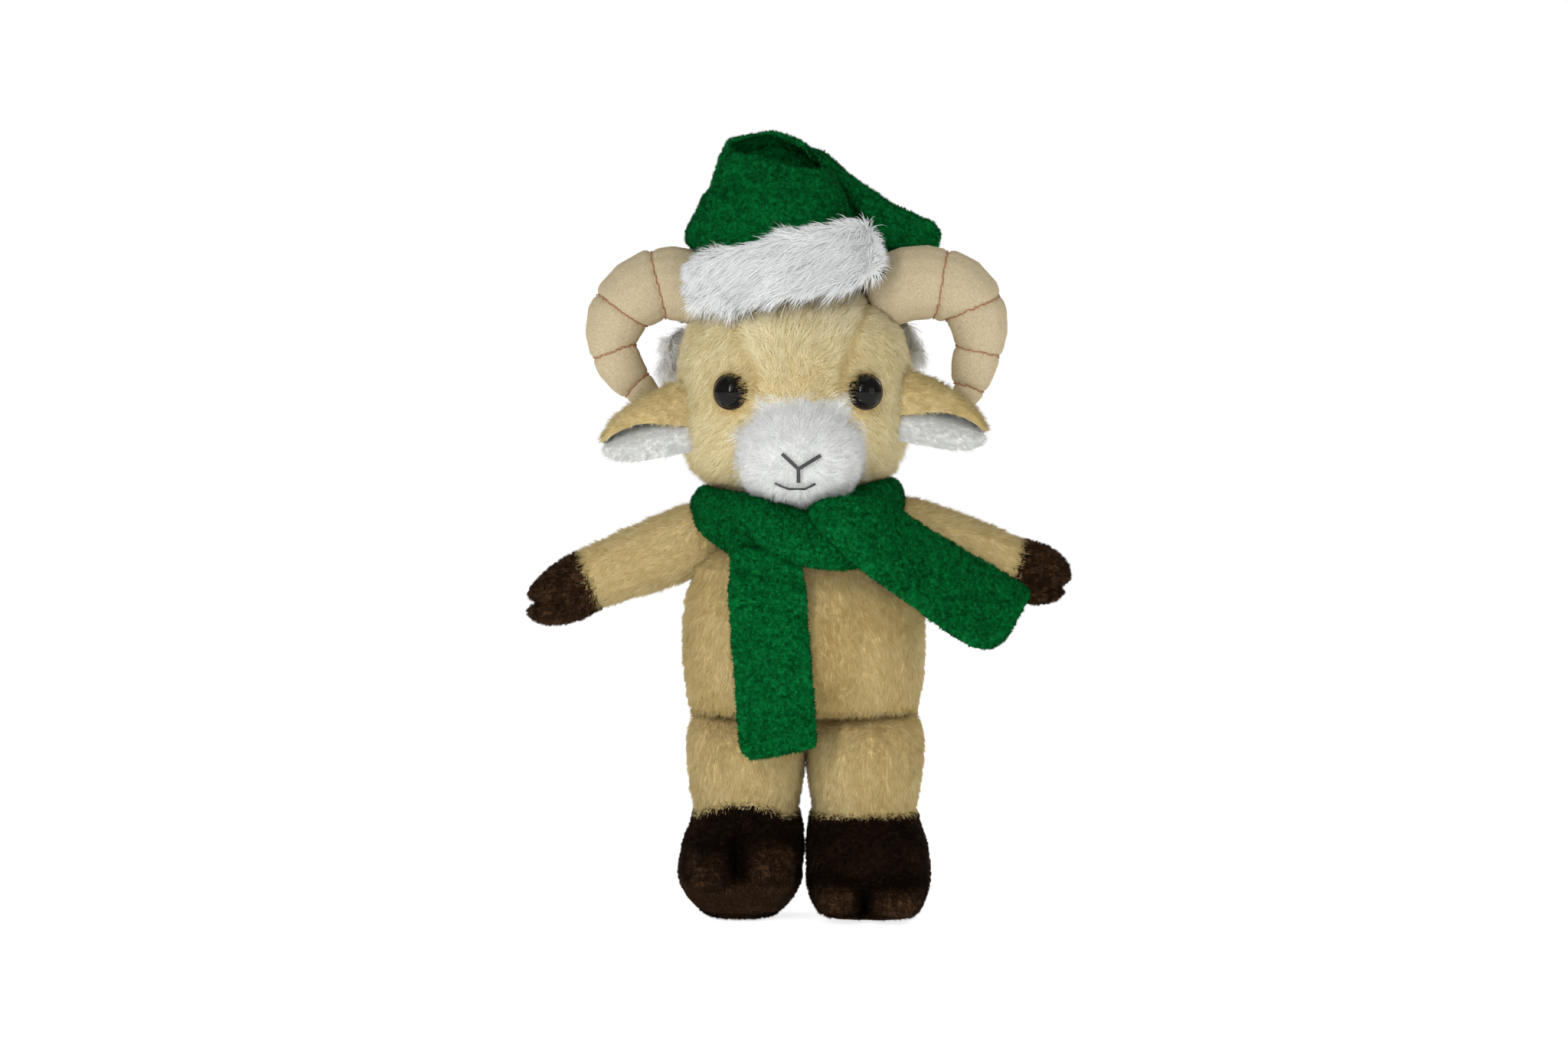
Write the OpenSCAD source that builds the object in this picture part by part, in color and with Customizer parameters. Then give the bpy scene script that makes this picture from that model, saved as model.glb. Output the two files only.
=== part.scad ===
// Plush ram with curled horns, a folded fleece hat and a fleece scarf.
// Millimetres, +Z up. The face looks along -Y and the toy's own left side is +X.
// The origin is on the floor between the feet.

/* [Head] */
// Width of the head across the cheeks
head_w = 84.8; // [80:0.2:88]
// Depth of the head from forehead to nape
head_d = 76; // [72:1:80]
// Height of the chin above the floor
chin_z = 147.6; // [147.4:0.1:148]
// Height of the top of the head, under the hat
crown_z = 228.5; // [226:0.5:230]
// Width of the white muzzle
muzzle_w = 45.6; // [42:0.2:48]
// Diameter of a safety eye's dome
eye_d = 12; // [10:0.5:13]

/* [Horns and ears] */
// Thickness of a horn where it leaves the head
horn_t = 25.6; // [22:0.2:26]
// Pitch of the orange stitching lines along a horn, as a share of its length
stitch_pitch = 0.19; // [0.15:0.01:0.2]
// Length of an ear from its pivot to its tip
ear_l = 23; // [19:0.5:24]
// Width of an ear at its widest
ear_w = 25; // [20:0.5:26]

/* [Body] */
// Width of the body across the belly
body_w = 88.8; // [84:0.2:90]
// Depth of the body at the belly
body_d = 68; // [64:1:72]
// Thickness of an arm at the shoulder
arm_t = 27.2; // [25:0.2:27.4]
// Radius of a leg's rounded top about the hip axis
leg_r = 21.5; // [20:0.25:21.5]
// Height of the hip axis above the floor
hip_z = 49.8; // [49:0.1:50]
// Width of a leg
leg_w = 40.4; // [38:0.2:40.6]
// Height of the seam between leg and hoof
ankle_z = 36; // [33:0.5:38]

/* [Clothes] */
// Width of the scarf
scarf_w = 28.5; // [26:0.5:29]
// Thickness of the fleece of the scarf
scarf_t = 3.6; // [3:0.1:3.8]
// Height of the hat's fold above the floor
hat_top_z = 280; // [276:0.5:282]
// Thickness of the fleece of the hat
hat_t = 2.4; // [2:0.1:2.6]
// Height of the fur trim's band
trim_h = 23.5; // [20:0.5:25]

/* [Fabric] */
// Thickness of the plush, pile and backing together
skin = 2; // [1.5:0.1:2.2]
// Gap left between two bodies that move against each other
clear_gap = 0.45; // [0.4:0.05:0.5]

/* [Hidden] */

fill_gap = 0.3;      // between a fabric shell and the stuffing in it
sewn_gap = 0.05;     // between two pieces that are sewn together
far = 200;           // longer than anything that a cutting block has to pass through
tan_pile = "burlywood";
white_pile = "whitesmoke";
twill = "tan";
brown_pile = "#2b1a12";
fleece = "forestgreen";
thread = "#2d2d2d";
polyester = "ivory";

// ---------------------------------------------------------------- soft forms
// A soft form is a list of stations, each [x, y, z, a, b]: the centre of a cross-section, its
// half-width a in the XZ plane square to the path, and its half-depth b along Y.

function catmull(s, i, t) = let(
    last = len(s) - 1,
    p = s[max(i - 1, 0)], q = s[i], r = s[min(i + 1, last)], w = s[min(i + 2, last)])
    0.5 * (2 * q + (r - p) * t + (2 * p - 5 * q + 4 * r - w) * t * t
        + (3 * q - p - 3 * r + w) * t * t * t);

// The station a share u of the way along the list
function along(s, u) = let(
    f = max(0, min(1, u)) * (len(s) - 1),
    i = min(floor(f), len(s) - 2))
    catmull(s, i, f - i);

function spine_length(s) = let(d = [for (i = [1 : len(s) - 1]) norm(
    [s[i].x - s[i - 1].x, s[i].z - s[i - 1].z])]) d * [for (k = d) 1];

function side_of(s, u) = let(
    v = max(0.01, min(0.99, u)),
    p = along(s, v - 0.01), q = along(s, v + 0.01), t = [q.x - p.x, 0, q.z - p.z])
    [t.z, 0, -t.x] / norm(t);

function power(v, e) = sign(v) * pow(abs(v), e);

// A closed skin through the stations. inset draws it inwards all round, and square above 1
// makes the cross-sections fuller than an ellipse.
module soft(s, rings = 10, inset = 0, sides = 16, square = 1.1) {
    trim = inset / spine_length(s);
    shares = [for (r = [0 : rings]) trim + (1 - 2 * trim) * r / rings];
    points = [for (u = shares) let(c = along(s, u), n = side_of(s, u))
        for (k = [0 : sides - 1]) let(f = 360 * k / sides)
            [c.x, c.y, c.z]
            + max(c[3] - inset, 0.4) * power(cos(f), 1 / square) * n
            + max(c[4] - inset, 0.4) * power(sin(f), 1 / square) * [0, 1, 0]];
    walls = [for (r = [0 : rings - 1], k = [0 : sides - 1]) let(
        a = r * sides + k, b = r * sides + (k + 1) % sides, c = b + sides, d = a + sides)
        each [[a, d, c], [a, c, b]]];
    bottom = [for (k = [0 : sides - 1]) k];
    top = [for (k = [sides - 1 : -1 : 0]) rings * sides + k];
    polyhedron(points = points, faces = concat([bottom], walls, [top]), convexity = 6);
}

// The half-space boxes that split a skin into its sewn panels
module in_front_of(y) { translate([-far, y - far, -10]) cube([2 * far, far, 2 * far]); }
module behind(y) { translate([-far, y, -10]) cube([2 * far, far, 2 * far]); }
module right_of(x) { translate([x, -far, -10]) cube([far, 2 * far, 2 * far]); }
module above(z) { translate([-far, -far, z]) cube([2 * far, 2 * far, far]); }
module below(z) { translate([-far, -far, z - far]) cube([2 * far, 2 * far, far]); }

// A block with a hand-drawn XZ outline, running through the toy from front to back
module prism(outline, y0 = -far, y1 = far) {
    translate([0, y1, 0]) rotate([90, 0, 0]) linear_extrude(y1 - y0) polygon(outline);
}

// ---------------------------------------------------------------- head
head_x = -2;
eye_z = 187;
eye_x = 23.8;
eye_turn = 24;       // how far an eye looks outwards
face_seam_y = 6;     // seam between the face and the back of the head
head_a = head_w / 2;
head_b = head_d / 2;
HEAD = [
    [head_x, -1, chin_z, 9, 8],
    [head_x, -1, chin_z + 3, 0.52 * head_a, 0.52 * head_b],
    [head_x, -0.5, chin_z + 9, 0.8 * head_a, 0.79 * head_b],
    [head_x, 0, chin_z + 20, 0.945 * head_a, 0.95 * head_b],
    [head_x, 0, eye_z + 1, head_a, head_b],
    [head_x + 0.5, 1, 207, 0.945 * head_a, 0.96 * head_b],
    [head_x + 1, 2, crown_z - 10, 0.74 * head_a, 0.78 * head_b],
    [head_x + 1.5, 2, crown_z - 3, 0.44 * head_a, 0.46 * head_b],
    [head_x + 1.5, 2, crown_z, 6, 6]
];
// the centre panel widens from the muzzle to the forehead
FACE_CUT = [[-16, 176], [-15, 192], [-22, 206], [-34, 240], [30, 240], [19, 206], [13, 192], [13, 176]];

module head_form(inset = 0) { soft(HEAD, rings = 14, inset = inset, sides = 20, square = 1.08); }

// Puts a child's +Z along an eye's line of sight, with its origin on the face
module at_eye(side) {
    translate([side * eye_x - 0.7, -33.2, eye_z]) rotate([0, 0, side * eye_turn])
        rotate([90, 0, 0]) children();
}
shank_r = 1.6;
shank_l = 9;
washer_r = 6.5;
module eye_cuts() {
    for (side = [-1, 1]) at_eye(side) {
        translate([0, 0, -0.9]) cylinder(d = eye_d + 0.6, h = 9);
        translate([0, 0, -shank_l - 0.3]) cylinder(r = shank_r + 0.2, h = shank_l + 9);
        translate([0, 0, -5.6]) cylinder(r = washer_r + 0.4, h = 2.2);
    }
}
module head_skin() {
    difference() {
        head_form();
        head_form(skin);
        eye_cuts();
    }
}
module face_panel() {
    color(tan_pile) intersection() {
        head_skin();
        in_front_of(face_seam_y);
        prism(FACE_CUT);
    }
}
module cheek_panel(side) {
    color(tan_pile) difference() {
        intersection() {
            head_skin();
            in_front_of(face_seam_y);
        }
        prism(FACE_CUT);
        if (side > 0) mirror([1, 0, 0]) right_of(-head_x);
        else right_of(head_x);
    }
}
module cheek_panel_left() { cheek_panel(1); }
module cheek_panel_right() { cheek_panel(-1); }
module head_back_panel() {
    color(tan_pile) intersection() {
        head_skin();
        behind(face_seam_y);
    }
}

muzzle_x = -0.4;
muzzle_a = muzzle_w / 2;
MUZZLE = [
    [muzzle_x, -29, 146, 8, 9],
    [muzzle_x, -30, 150, 0.68 * muzzle_a, 13],
    [muzzle_x, -31, 158, 0.96 * muzzle_a, 15.5],
    [muzzle_x, -31, 168, 0.99 * muzzle_a, 15.5],
    [muzzle_x, -30, 177, 0.82 * muzzle_a, 12.5],
    [muzzle_x, -28, 183, 0.5 * muzzle_a, 10]
];
module muzzle_form(inset = 0) { soft(MUZZLE, rings = 10, inset = inset, square = 1.15); }
module muzzle_panel() {
    color(white_pile) difference() {
        muzzle_form();
        muzzle_form(skin);
        head_form(-sewn_gap);
        eye_cuts();
    }
}
module head_stuffing() {
    color(polyester) {
        difference() {
            head_form(skin + fill_gap);
            eye_cuts();
        }
        difference() {
            muzzle_form(skin + fill_gap);
            head_form(-fill_gap);
        }
    }
}

// A safety eye: a dome on a flange, with a shank that a washer locks behind the fabric
module eye(side) {
    dome_r = eye_d / 2 + 0.5;
    color("black") at_eye(side) {
        translate([0, 0, -0.6]) cylinder(d = eye_d, h = 1.2);
        translate([0, 0, -shank_l]) cylinder(r = shank_r, h = shank_l);
        intersection() {
            translate([0, 0, -2.4 + 0.6]) sphere(r = dome_r, $fn = 48);
            translate([0, 0, 0.5]) cylinder(d = eye_d, h = 9);
        }
    }
}
module eye_left() { eye(1); }
module eye_right() { eye(-1); }
module eye_washer(side) {
    color("white") at_eye(side) translate([0, 0, -5.3]) difference() {
        cylinder(r = washer_r, h = 1.6);
        translate([0, 0, -1]) cylinder(r = shank_r + 0.02, h = 4);
    }
}
module eye_washer_left() { eye_washer(1); }
module eye_washer_right() { eye_washer(-1); }

// Satin stitches that follow the muzzle's front: bars from p to q in the XZ plane
stitch_h = 0.8;
stitch_from = -36;   // the bars start behind the muzzle's front surface here
module bar(p, q, w = 1.3) {
    translate([p.x, stitch_from - 30, p.y]) rotate([0, -atan2(q.y - p.y, q.x - p.x), 0])
        translate([-w / 2, 0, -w / 2]) cube([norm(q - p) + w, 30, w]);
}
module on_muzzle() {
    difference() {
        intersection() {
            muzzle_form(-stitch_h);
            union() children();
        }
        muzzle_form(-0.02);
    }
}
nose_fork = [-0.6, 160.2];
module nose_embroidery() {
    color(thread) on_muzzle() {
        bar([-5.8, 165], nose_fork);
        bar([6.6, 164.6], nose_fork);
        bar(nose_fork, [-0.6, 156]);
    }
}
module mouth_embroidery() {
    color(thread) on_muzzle() {
        bar([-9.6, 155], [-4, 153.2], 0.9);
        bar([-4, 153.2], [2.2, 153.2], 0.9);
        bar([2.2, 153.2], [6, 154.8], 0.9);
    }
}

// ---------------------------------------------------------------- horns
horn_a = horn_t / 2;
horn_skin = 1.2;
HORN_LEFT = [
    [25, 0, 220, 0.96 * horn_a, 11],
    [38.5, 0, 225.6, horn_a, 11.3],
    [52, 0, 225.2, horn_a, 11.3],
    [61.5, 0, 219, 0.89 * horn_a, 10.8],
    [64.9, 0.5, 208, 0.73 * horn_a, 9.4],
    [62.6, 2, 196, 0.6 * horn_a, 7.9],
    [60.6, 4, 187.5, 0.45 * horn_a, 5.6],
    [58.5, 5, 182.6, 0.2 * horn_a, 2.5]
];
HORN_RIGHT = [
    [-25, 0, 218, 0.96 * horn_a, 11],
    [-38.5, 0, 224.8, horn_a, 11.3],
    [-52, 0, 225.1, horn_a, 11.3],
    [-62.6, 0, 218, 0.89 * horn_a, 10.8],
    [-67.2, 0.5, 207.5, 0.73 * horn_a, 9.4],
    [-64.5, 2, 196.5, 0.6 * horn_a, 7.9],
    [-57.8, 4, 188.6, 0.47 * horn_a, 5.6],
    [-52, 5, 184.4, 0.22 * horn_a, 2.5]
];
function horn_path(side) = side > 0 ? HORN_LEFT : HORN_RIGHT;
module horn_form(side, inset = 0) {
    soft(horn_path(side), rings = 14, inset = inset, sides = 14, square = 1);
}
module horn(side) {
    color(twill) difference() {
        horn_form(side);
        horn_form(side, horn_skin);
        head_form(-sewn_gap);
    }
}
module horn_left() { horn(1); }
module horn_right() { horn(-1); }
module horn_stuffing(side) {
    color(polyester) difference() {
        horn_form(side, horn_skin + fill_gap);
        head_form(-fill_gap);
    }
}
module horn_stuffing_left() { horn_stuffing(1); }
module horn_stuffing_right() { horn_stuffing(-1); }

// Four rings of thread drawn round each horn
thread_w = 0.9;
thread_h = 0.6;
module horn_stitching(side) {
    color("#b5562a") for (k = [0 : 3]) {
        u = 0.27 + k * stitch_pitch;
        c = along(horn_path(side), u);
        n = side_of(horn_path(side), u);
        tilt = atan2(n.z, n.x);
        difference() {
            thread_disc(c, tilt);
            horn_form(side, -sewn_gap);
        }
    }
}
// A thin elliptical disc square to a horn's path and a thread's height wider than the horn
module thread_disc(c, tilt) {
    translate([c.x, c.y, c.z]) rotate([0, -tilt, 0]) linear_extrude(thread_w, center = true)
        polygon([for (k = [0 : 23])
            [(c[3] + thread_h) * cos(15 * k), (c[4] + thread_h) * sin(15 * k)]]);
}
module horn_stitching_left() { horn_stitching(1); }
module horn_stitching_right() { horn_stitching(-1); }

// ---------------------------------------------------------------- ears
ear_y = -8.4;        // the join between the two layers
ear_layer = 2.2;
ear_droop = 14;
ear_pivot = head_a + 2;      // how far out an ear hinges from the middle of the head
function ear_z(side) = side > 0 ? 178.5 : 177.5;
// A leaf, flat in Y, that starts at its pivot a little way off the cheek. Each pair is a
// share of the length and of the half-width.
EAR_LEAF = [[0, 0.5], [0.22, 0.84], [0.5, 1], [0.78, 0.76], [0.95, 0.34], [1, 0.1]];
function ear_path(side, y) = [for (p = EAR_LEAF)
    [head_x + side * (ear_pivot + p[0] * ear_l * cos(ear_droop)), y,
        ear_z(side) - p[0] * ear_l * sin(ear_droop), p[1] * ear_w / 2, ear_layer / 2]];
module ear_leaf(side, y) { soft(ear_path(side, y), rings = 10, sides = 10, square = 1.3); }
module ear_outer_left() { color(tan_pile) ear_leaf(1, ear_y + ear_layer / 2 + sewn_gap); }
module ear_outer_right() { color(tan_pile) ear_leaf(-1, ear_y + ear_layer / 2 + sewn_gap); }
module ear_lining_left() { color(white_pile) ear_leaf(1, ear_y - ear_layer / 2 - sewn_gap); }
module ear_lining_right() { color(white_pile) ear_leaf(-1, ear_y - ear_layer / 2 - sewn_gap); }

// ---------------------------------------------------------------- hat
hat_hem_y = 13;      // behind this the hat hangs down at the back of the head
HAT = [
    [-3, 3, 203, 43.5, 41.5],
    [-4, 2.5, 214, 43, 40.5],
    [-6, 1.5, 225, 39, 36],
    [-8.5, 1, 236, 34, 31.5],
    [-8, 1, 250, 27, 27],
    [-8.4, 2, hat_top_z - 18, 20.4, 19],
    [-11.5, 3, hat_top_z - 8, 13.5, 12],
    [-14, 4, hat_top_z - 1, 5, 4.5]
];
HAT_TAIL = [
    [-4, 17, hat_top_z - 12, 5, 4],
    [3, 18, hat_top_z - 14, 10, 6.5],
    [18, 19, hat_top_z - 23, 12.5, 7],
    [36, 19, hat_top_z - 32.5, 10, 6],
    [46, 19, hat_top_z - 37, 7.5, 5],
    [50.5, 19, hat_top_z - 38.5, 4, 3.5]
];
module hat_form(inset = 0) { soft(HAT, rings = 12, inset = inset, sides = 20, square = 1.04); }
module hat_crown() {
    color(fleece) difference() {
        union() {
            hat_form();
            soft(HAT_TAIL, rings = 9, sides = 12, square = 1.1);
        }
        hat_form(hat_t);
        head_form(-clear_gap);
        below(209);
        intersection() {
            below(227);
            in_front_of(hat_hem_y);
        }
        // the sides ride over the horns
        for (side = [-1, 1]) translate([side > 0 ? 17 : -17 - far, -13, 150])
            cube([far, hat_hem_y + 13, 240.5 - 150]);
    }
}
TRIM_FRONT = [
    [-38.5, -18.5, 223.5, 8, 3.5],
    [-34, -22.5, 224.5, 0.46 * trim_h, 4.5],
    [-20, -32, 227, 0.5 * trim_h, 4.8],
    [-5, -36, 230.3, 0.5 * trim_h, 5],
    [12, -33, 234, 0.5 * trim_h, 4.8],
    [24, -25.5, 237.5, 0.46 * trim_h, 4.5],
    [27.5, -21, 238.5, 8, 3.5]
];
TRIM_BACK = [
    [-49, 18.5, 202, 7, 3.6],
    [-44.5, 27, 201, 0.46 * trim_h, 4.4],
    [-30, 40, 199.5, 0.5 * trim_h, 4.6],
    [-3, 45, 199, 0.5 * trim_h, 4.6],
    [26, 40, 202, 0.5 * trim_h, 4.6],
    [38, 27, 205.5, 0.46 * trim_h, 4.4],
    [42.5, 18.5, 207.5, 7, 3.6]
];
module trim(path) {
    color(white_pile) difference() {
        soft(path, rings = 12, sides = 12, square = 1.25);
        head_form(-clear_gap);
        hat_form(-sewn_gap);
    }
}
module hat_trim_front() { trim(TRIM_FRONT); }
module hat_trim_back() { trim(TRIM_BACK); }

// ---------------------------------------------------------------- torso
body_a = body_w / 2;
body_b = body_d / 2;
torso_x = 1.6;
neck_top_z = chin_z - clear_gap;
crotch_z = hip_z + 1;
TORSO = [
    [torso_x + 0.9, 3, crotch_z, 0.62 * body_a, 0.62 * body_b],
    [torso_x + 0.7, 2, crotch_z + 7, 0.86 * body_a, 0.8 * body_b],
    [torso_x + 0.6, 1, 70, 0.935 * body_a, 0.86 * body_b],
    [torso_x, 0, 84, 0.99 * body_a, 0.98 * body_b],
    [torso_x, 0, 99, body_a, body_b],
    [torso_x - 0.4, 0, 110, 0.965 * body_a, 0.97 * body_b],
    [torso_x - 0.6, 0, 118, 0.72 * body_a, 0.92 * body_b],
    [torso_x - 0.6, 0, 124.5, 0.52 * body_a, 0.85 * body_b],
    [0.8, 0, 134, 0.465 * body_a, 0.76 * body_b],
    [0.4, 3, neck_top_z, 0.42 * body_a, 0.5 * body_b]
];
shoulder_r = arm_t / 2;
function shoulder(side) = side > 0 ? [38.6, 136.4] : [-36.8, 134.4];
module torso_form(inset = 0) {
    difference() {
        soft(TORSO, rings = 15, inset = inset, sides = 20, square = 1.08);
        // sockets that the legs and the arms turn in
        translate([-far / 2, 0, hip_z]) rotate([0, 90, 0])
            cylinder(r = leg_r + clear_gap + inset, h = far, $fn = 64);
        translate([-far / 2, -far, hip_z - 20]) cube([far, far, 20 + leg_r + clear_gap + inset]);
        for (side = [-1, 1]) let(p = shoulder(side))
            translate([p.x, -far / 2, p.y]) rotate([-90, 0, 0])
                cylinder(r = shoulder_r + clear_gap + inset, h = far, $fn = 64);
    }
}
module torso_skin() {
    difference() {
        torso_form();
        torso_form(skin);
    }
}
module torso_front() { color(tan_pile) intersection() { torso_skin(); in_front_of(4); } }
module torso_back() { color(tan_pile) intersection() { torso_skin(); behind(4); } }
module torso_stuffing() { color(polyester) torso_form(skin + fill_gap); }
TAIL = [
    [1.6, 33.5, 66, 4, 3], [1.6, 37, 71, 7, 5.5], [1.6, 38.5, 79, 8, 6], [1.6, 37.5, 87, 6.5, 5],
    [1.6, 35.5, 92, 2, 2]
];
module tail() {
    color(tan_pile) difference() {
        soft(TAIL, rings = 8, sides = 12, square = 1);
        torso_form(-sewn_gap);
    }
}

// ---------------------------------------------------------------- scarf
// Everything that the turning head and muzzle sweep through, with room to spare
module head_sweep() {
    rotate_extrude($fn = 64) polygon([
        [0, chin_z - 0.9], [12, chin_z - 0.6], [25, chin_z + 1.6], [35.5, chin_z + 7.5],
        [41.5, chin_z + 18], [45, chin_z + 40], [0, chin_z + 40]]);
    // the muzzle swings through the front
    translate([-far / 2, 0, 0]) rotate([90, 0, 90]) linear_extrude(far)
        polygon([[-far, 144.3], [-10, 144.3], [8, 158], [-far, 158]]);
}
COLLAR = [
    [-0.6, 0, 125, 32, 31],
    [-0.6, 0, 129, 37, 36.5],
    [-0.7, -0.5, 138, 38.4, 38.4],
    [-0.7, 0, 149, 38.4, 38],
    [-0.7, 0, 156, 37.4, 36]
];
arm_room = 14.6;     // half the depth left free for an arm under the collar
lift_room = 1.8;     // and the height that it is left to lift in
module scarf_collar() {
    color(fleece) difference() {
        soft(COLLAR, rings = 8, sides = 24, square = 1);
        torso_form(-0.15);
        head_sweep();
        shoulder_room();
    }
}
// The arms' round tops, and the way their upper edges swing when they lift
module shoulder_room() {
    for (side = [-1, 1]) let(p = shoulder(side)) {
        translate([p.x, -arm_room, p.y]) rotate([-90, 0, 0])
            cylinder(r = shoulder_r + clear_gap, h = 2 * arm_room, $fn = 64);
        translate([side > 0 ? p.x : p.x - far, -arm_room, p.y - 40])
            cube([far, 2 * arm_room, 40 + shoulder_r + lift_room]);
    }
}
KNOT = [
    [-22, -38.5, 137, 6, 3.5], [-16, -40.5, 135.5, 9, 5], [-4, -42, 134.3, 9.8, 5.8],
    [8, -41.5, 133.8, 9, 5.2], [16, -39, 134, 6, 3.6]
];
module scarf_knot() {
    color(fleece) difference() {
        soft(KNOT, rings = 8, sides = 12, square = 1.1);
        soft(COLLAR, rings = 8, inset = -0.1, sides = 24, square = 1);
        torso_form(-0.15);
        head_sweep();
    }
}
scarf_a = scarf_w / 2;
scarf_b = scarf_t / 2;
// The end that lies over the toy's left arm
SIDE_END = [
    [14, -41.2, 131.5, 0.72 * scarf_a, scarf_b],
    [24, -39.6, 130, 0.9 * scarf_a, scarf_b],
    [38, -33, 125.5, scarf_a, scarf_b],
    [55, -24.5, 117, scarf_a, scarf_b],
    [70, -20.5, 108.2, 1.04 * scarf_a, scarf_b],
    [75.5, -19.5, 105, 0.92 * scarf_a, 0.8 * scarf_b]
];
module scarf_side_end() {
    color(fleece) difference() {
        soft(SIDE_END, rings = 12, sides = 12, square = 1.5);
        soft(COLLAR, rings = 8, inset = -0.1, sides = 24, square = 1);
        soft(KNOT, rings = 8, inset = -0.1, sides = 12, square = 1.1);
        head_sweep();
    }
}
// The end that hangs in front, and its lower part, which folds onto a lifted leg
fold_z = 84;
fold_y = -37.6;
end_x = -12.5;
FRONT_END = [
    [-12.5, -40, 124, 0.9 * scarf_a, scarf_b], [-12.5, -38.8, 116, scarf_a, scarf_b],
    [end_x, fold_y, 104, scarf_a, scarf_b], [end_x, fold_y, fold_z + scarf_b + 0.2, scarf_a, scarf_b]
];
// its upper edge is rounded about the fold
FRONT_TIP = [
    [end_x, fold_y, fold_z + 0.85 * scarf_b, scarf_a, 0.4 * scarf_b],
    [end_x, fold_y, fold_z + 0.5 * scarf_b, scarf_a, 0.8 * scarf_b],
    [end_x, fold_y, fold_z - 0.25, scarf_a, 0.98 * scarf_b], [end_x, fold_y, 77, scarf_a, scarf_b],
    [end_x, fold_y, 66, scarf_a, scarf_b], [end_x, fold_y, 59.5, scarf_a, scarf_b],
    [end_x, fold_y, 55.5, 0.84 * scarf_a, 0.8 * scarf_b]
];
module scarf_front_end() {
    color(fleece) difference() {
        soft(FRONT_END, rings = 8, sides = 12, square = 1.5);
        soft(COLLAR, rings = 8, inset = -0.1, sides = 24, square = 1);
        soft(KNOT, rings = 8, inset = -0.1, sides = 12, square = 1.1);
        torso_form(-0.1);
    }
}
module scarf_front_tip() { color(fleece) soft(FRONT_TIP, rings = 12, sides = 12, square = 1.5); }

// ---------------------------------------------------------------- arms
arm_b = 13;
function arm_path(side) = let(
    s = shoulder(side), r = shoulder_r,
    wrist = side > 0 ? [77, 123.6] : [-74.8, 119.8],
    t = (wrist - s) / norm(wrist - s))
    [
        [s.x - t.x * r, 0, s.y - t.y * r, 1.2, 1.2],
        [s.x - t.x * r * 0.9, 0, s.y - t.y * r * 0.9, 0.42 * r, 0.4 * arm_b],
        [s.x - t.x * r * 0.6, 0, s.y - t.y * r * 0.6, 0.79 * r, 0.75 * arm_b],
        [s.x, 0, s.y, r, arm_b],
        [s.x + t.x * 16, 0, s.y + t.y * 16, 0.99 * r, 0.99 * arm_b],
        [s.x + t.x * 30, 0, s.y + t.y * 30, 0.93 * r, 0.94 * arm_b],
        [wrist.x, 0, wrist.y, 0.875 * r, 0.9 * arm_b]
    ];
function hoof_path(side) = let(
    w = side > 0 ? [77.6, 123.4] : [-75.4, 119.6],
    m = side > 0 ? [88, 120.4] : [-86, 113.6],
    e = side > 0 ? [97.2, 116.6] : [-98.4, 107.6],
    r = shoulder_r)
    [
        [w.x, 0, w.y, 0.875 * r, 0.9 * arm_b],
        [(w.x + m.x) / 2, 0, (w.y + m.y) / 2, 0.87 * r, 0.92 * arm_b],
        [m.x, 0, m.y, 0.82 * r, 0.86 * arm_b],
        [(m.x + 2 * e.x) / 3, 0, (m.y + 2 * e.y) / 3, 0.58 * r, 0.62 * arm_b],
        [e.x, 0, e.y, 0.2 * r, 0.22 * arm_b]
    ];
module arm_form(side, inset = 0) { soft(arm_path(side), rings = 10, inset = inset, sides = 14, square = 1.03); }
module hoof_form(side, inset = 0) { soft(hoof_path(side), rings = 7, inset = inset, sides = 14, square = 1.03); }
module arm(side) { color(tan_pile) difference() { arm_form(side); arm_form(side, skin); } }
module arm_hoof(side) {
    color(brown_pile) difference() {
        hoof_form(side);
        hoof_form(side, skin);
        arm_form(side, -sewn_gap);
    }
}
module arm_stuffing(side) {
    color(polyester) {
        arm_form(side, skin + fill_gap);
        hoof_form(side, skin + fill_gap);
    }
}
module arm_left() { arm(1); }
module arm_right() { arm(-1); }
module arm_hoof_left() { arm_hoof(1); }
module arm_hoof_right() { arm_hoof(-1); }
module arm_stuffing_left() { arm_stuffing(1); }
module arm_stuffing_right() { arm_stuffing(-1); }

// ---------------------------------------------------------------- legs
leg_a = leg_w / 2;
function leg_x(side) = side > 0 ? 23.4 : -19.2;
// a leg's rounded top, as half-angles up from the hip axis
function leg_top(x, f) = [x, 0, hip_z + leg_r * sin(f), leg_a * (0.8 + 0.2 * cos(f)), leg_r * cos(f)];
function leg_path(side) = let(x = leg_x(side))
    [
        [x, 0, ankle_z + 0.2, 0.95 * leg_a, 0.9 * leg_r],
        [x, 0, ankle_z + 6, 0.97 * leg_a, 0.96 * leg_r],
        for (f = [0, 22, 44, 63, 79, 88]) leg_top(x, f)
    ];
module leg_form(side, inset = 0) { soft(leg_path(side), rings = 12, inset = inset, sides = 16, square = 1.15); }
foot_a = 22;
foot_y = -5;
function foot_x(side) = side > 0 ? 24.6 : -21.2;
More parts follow.
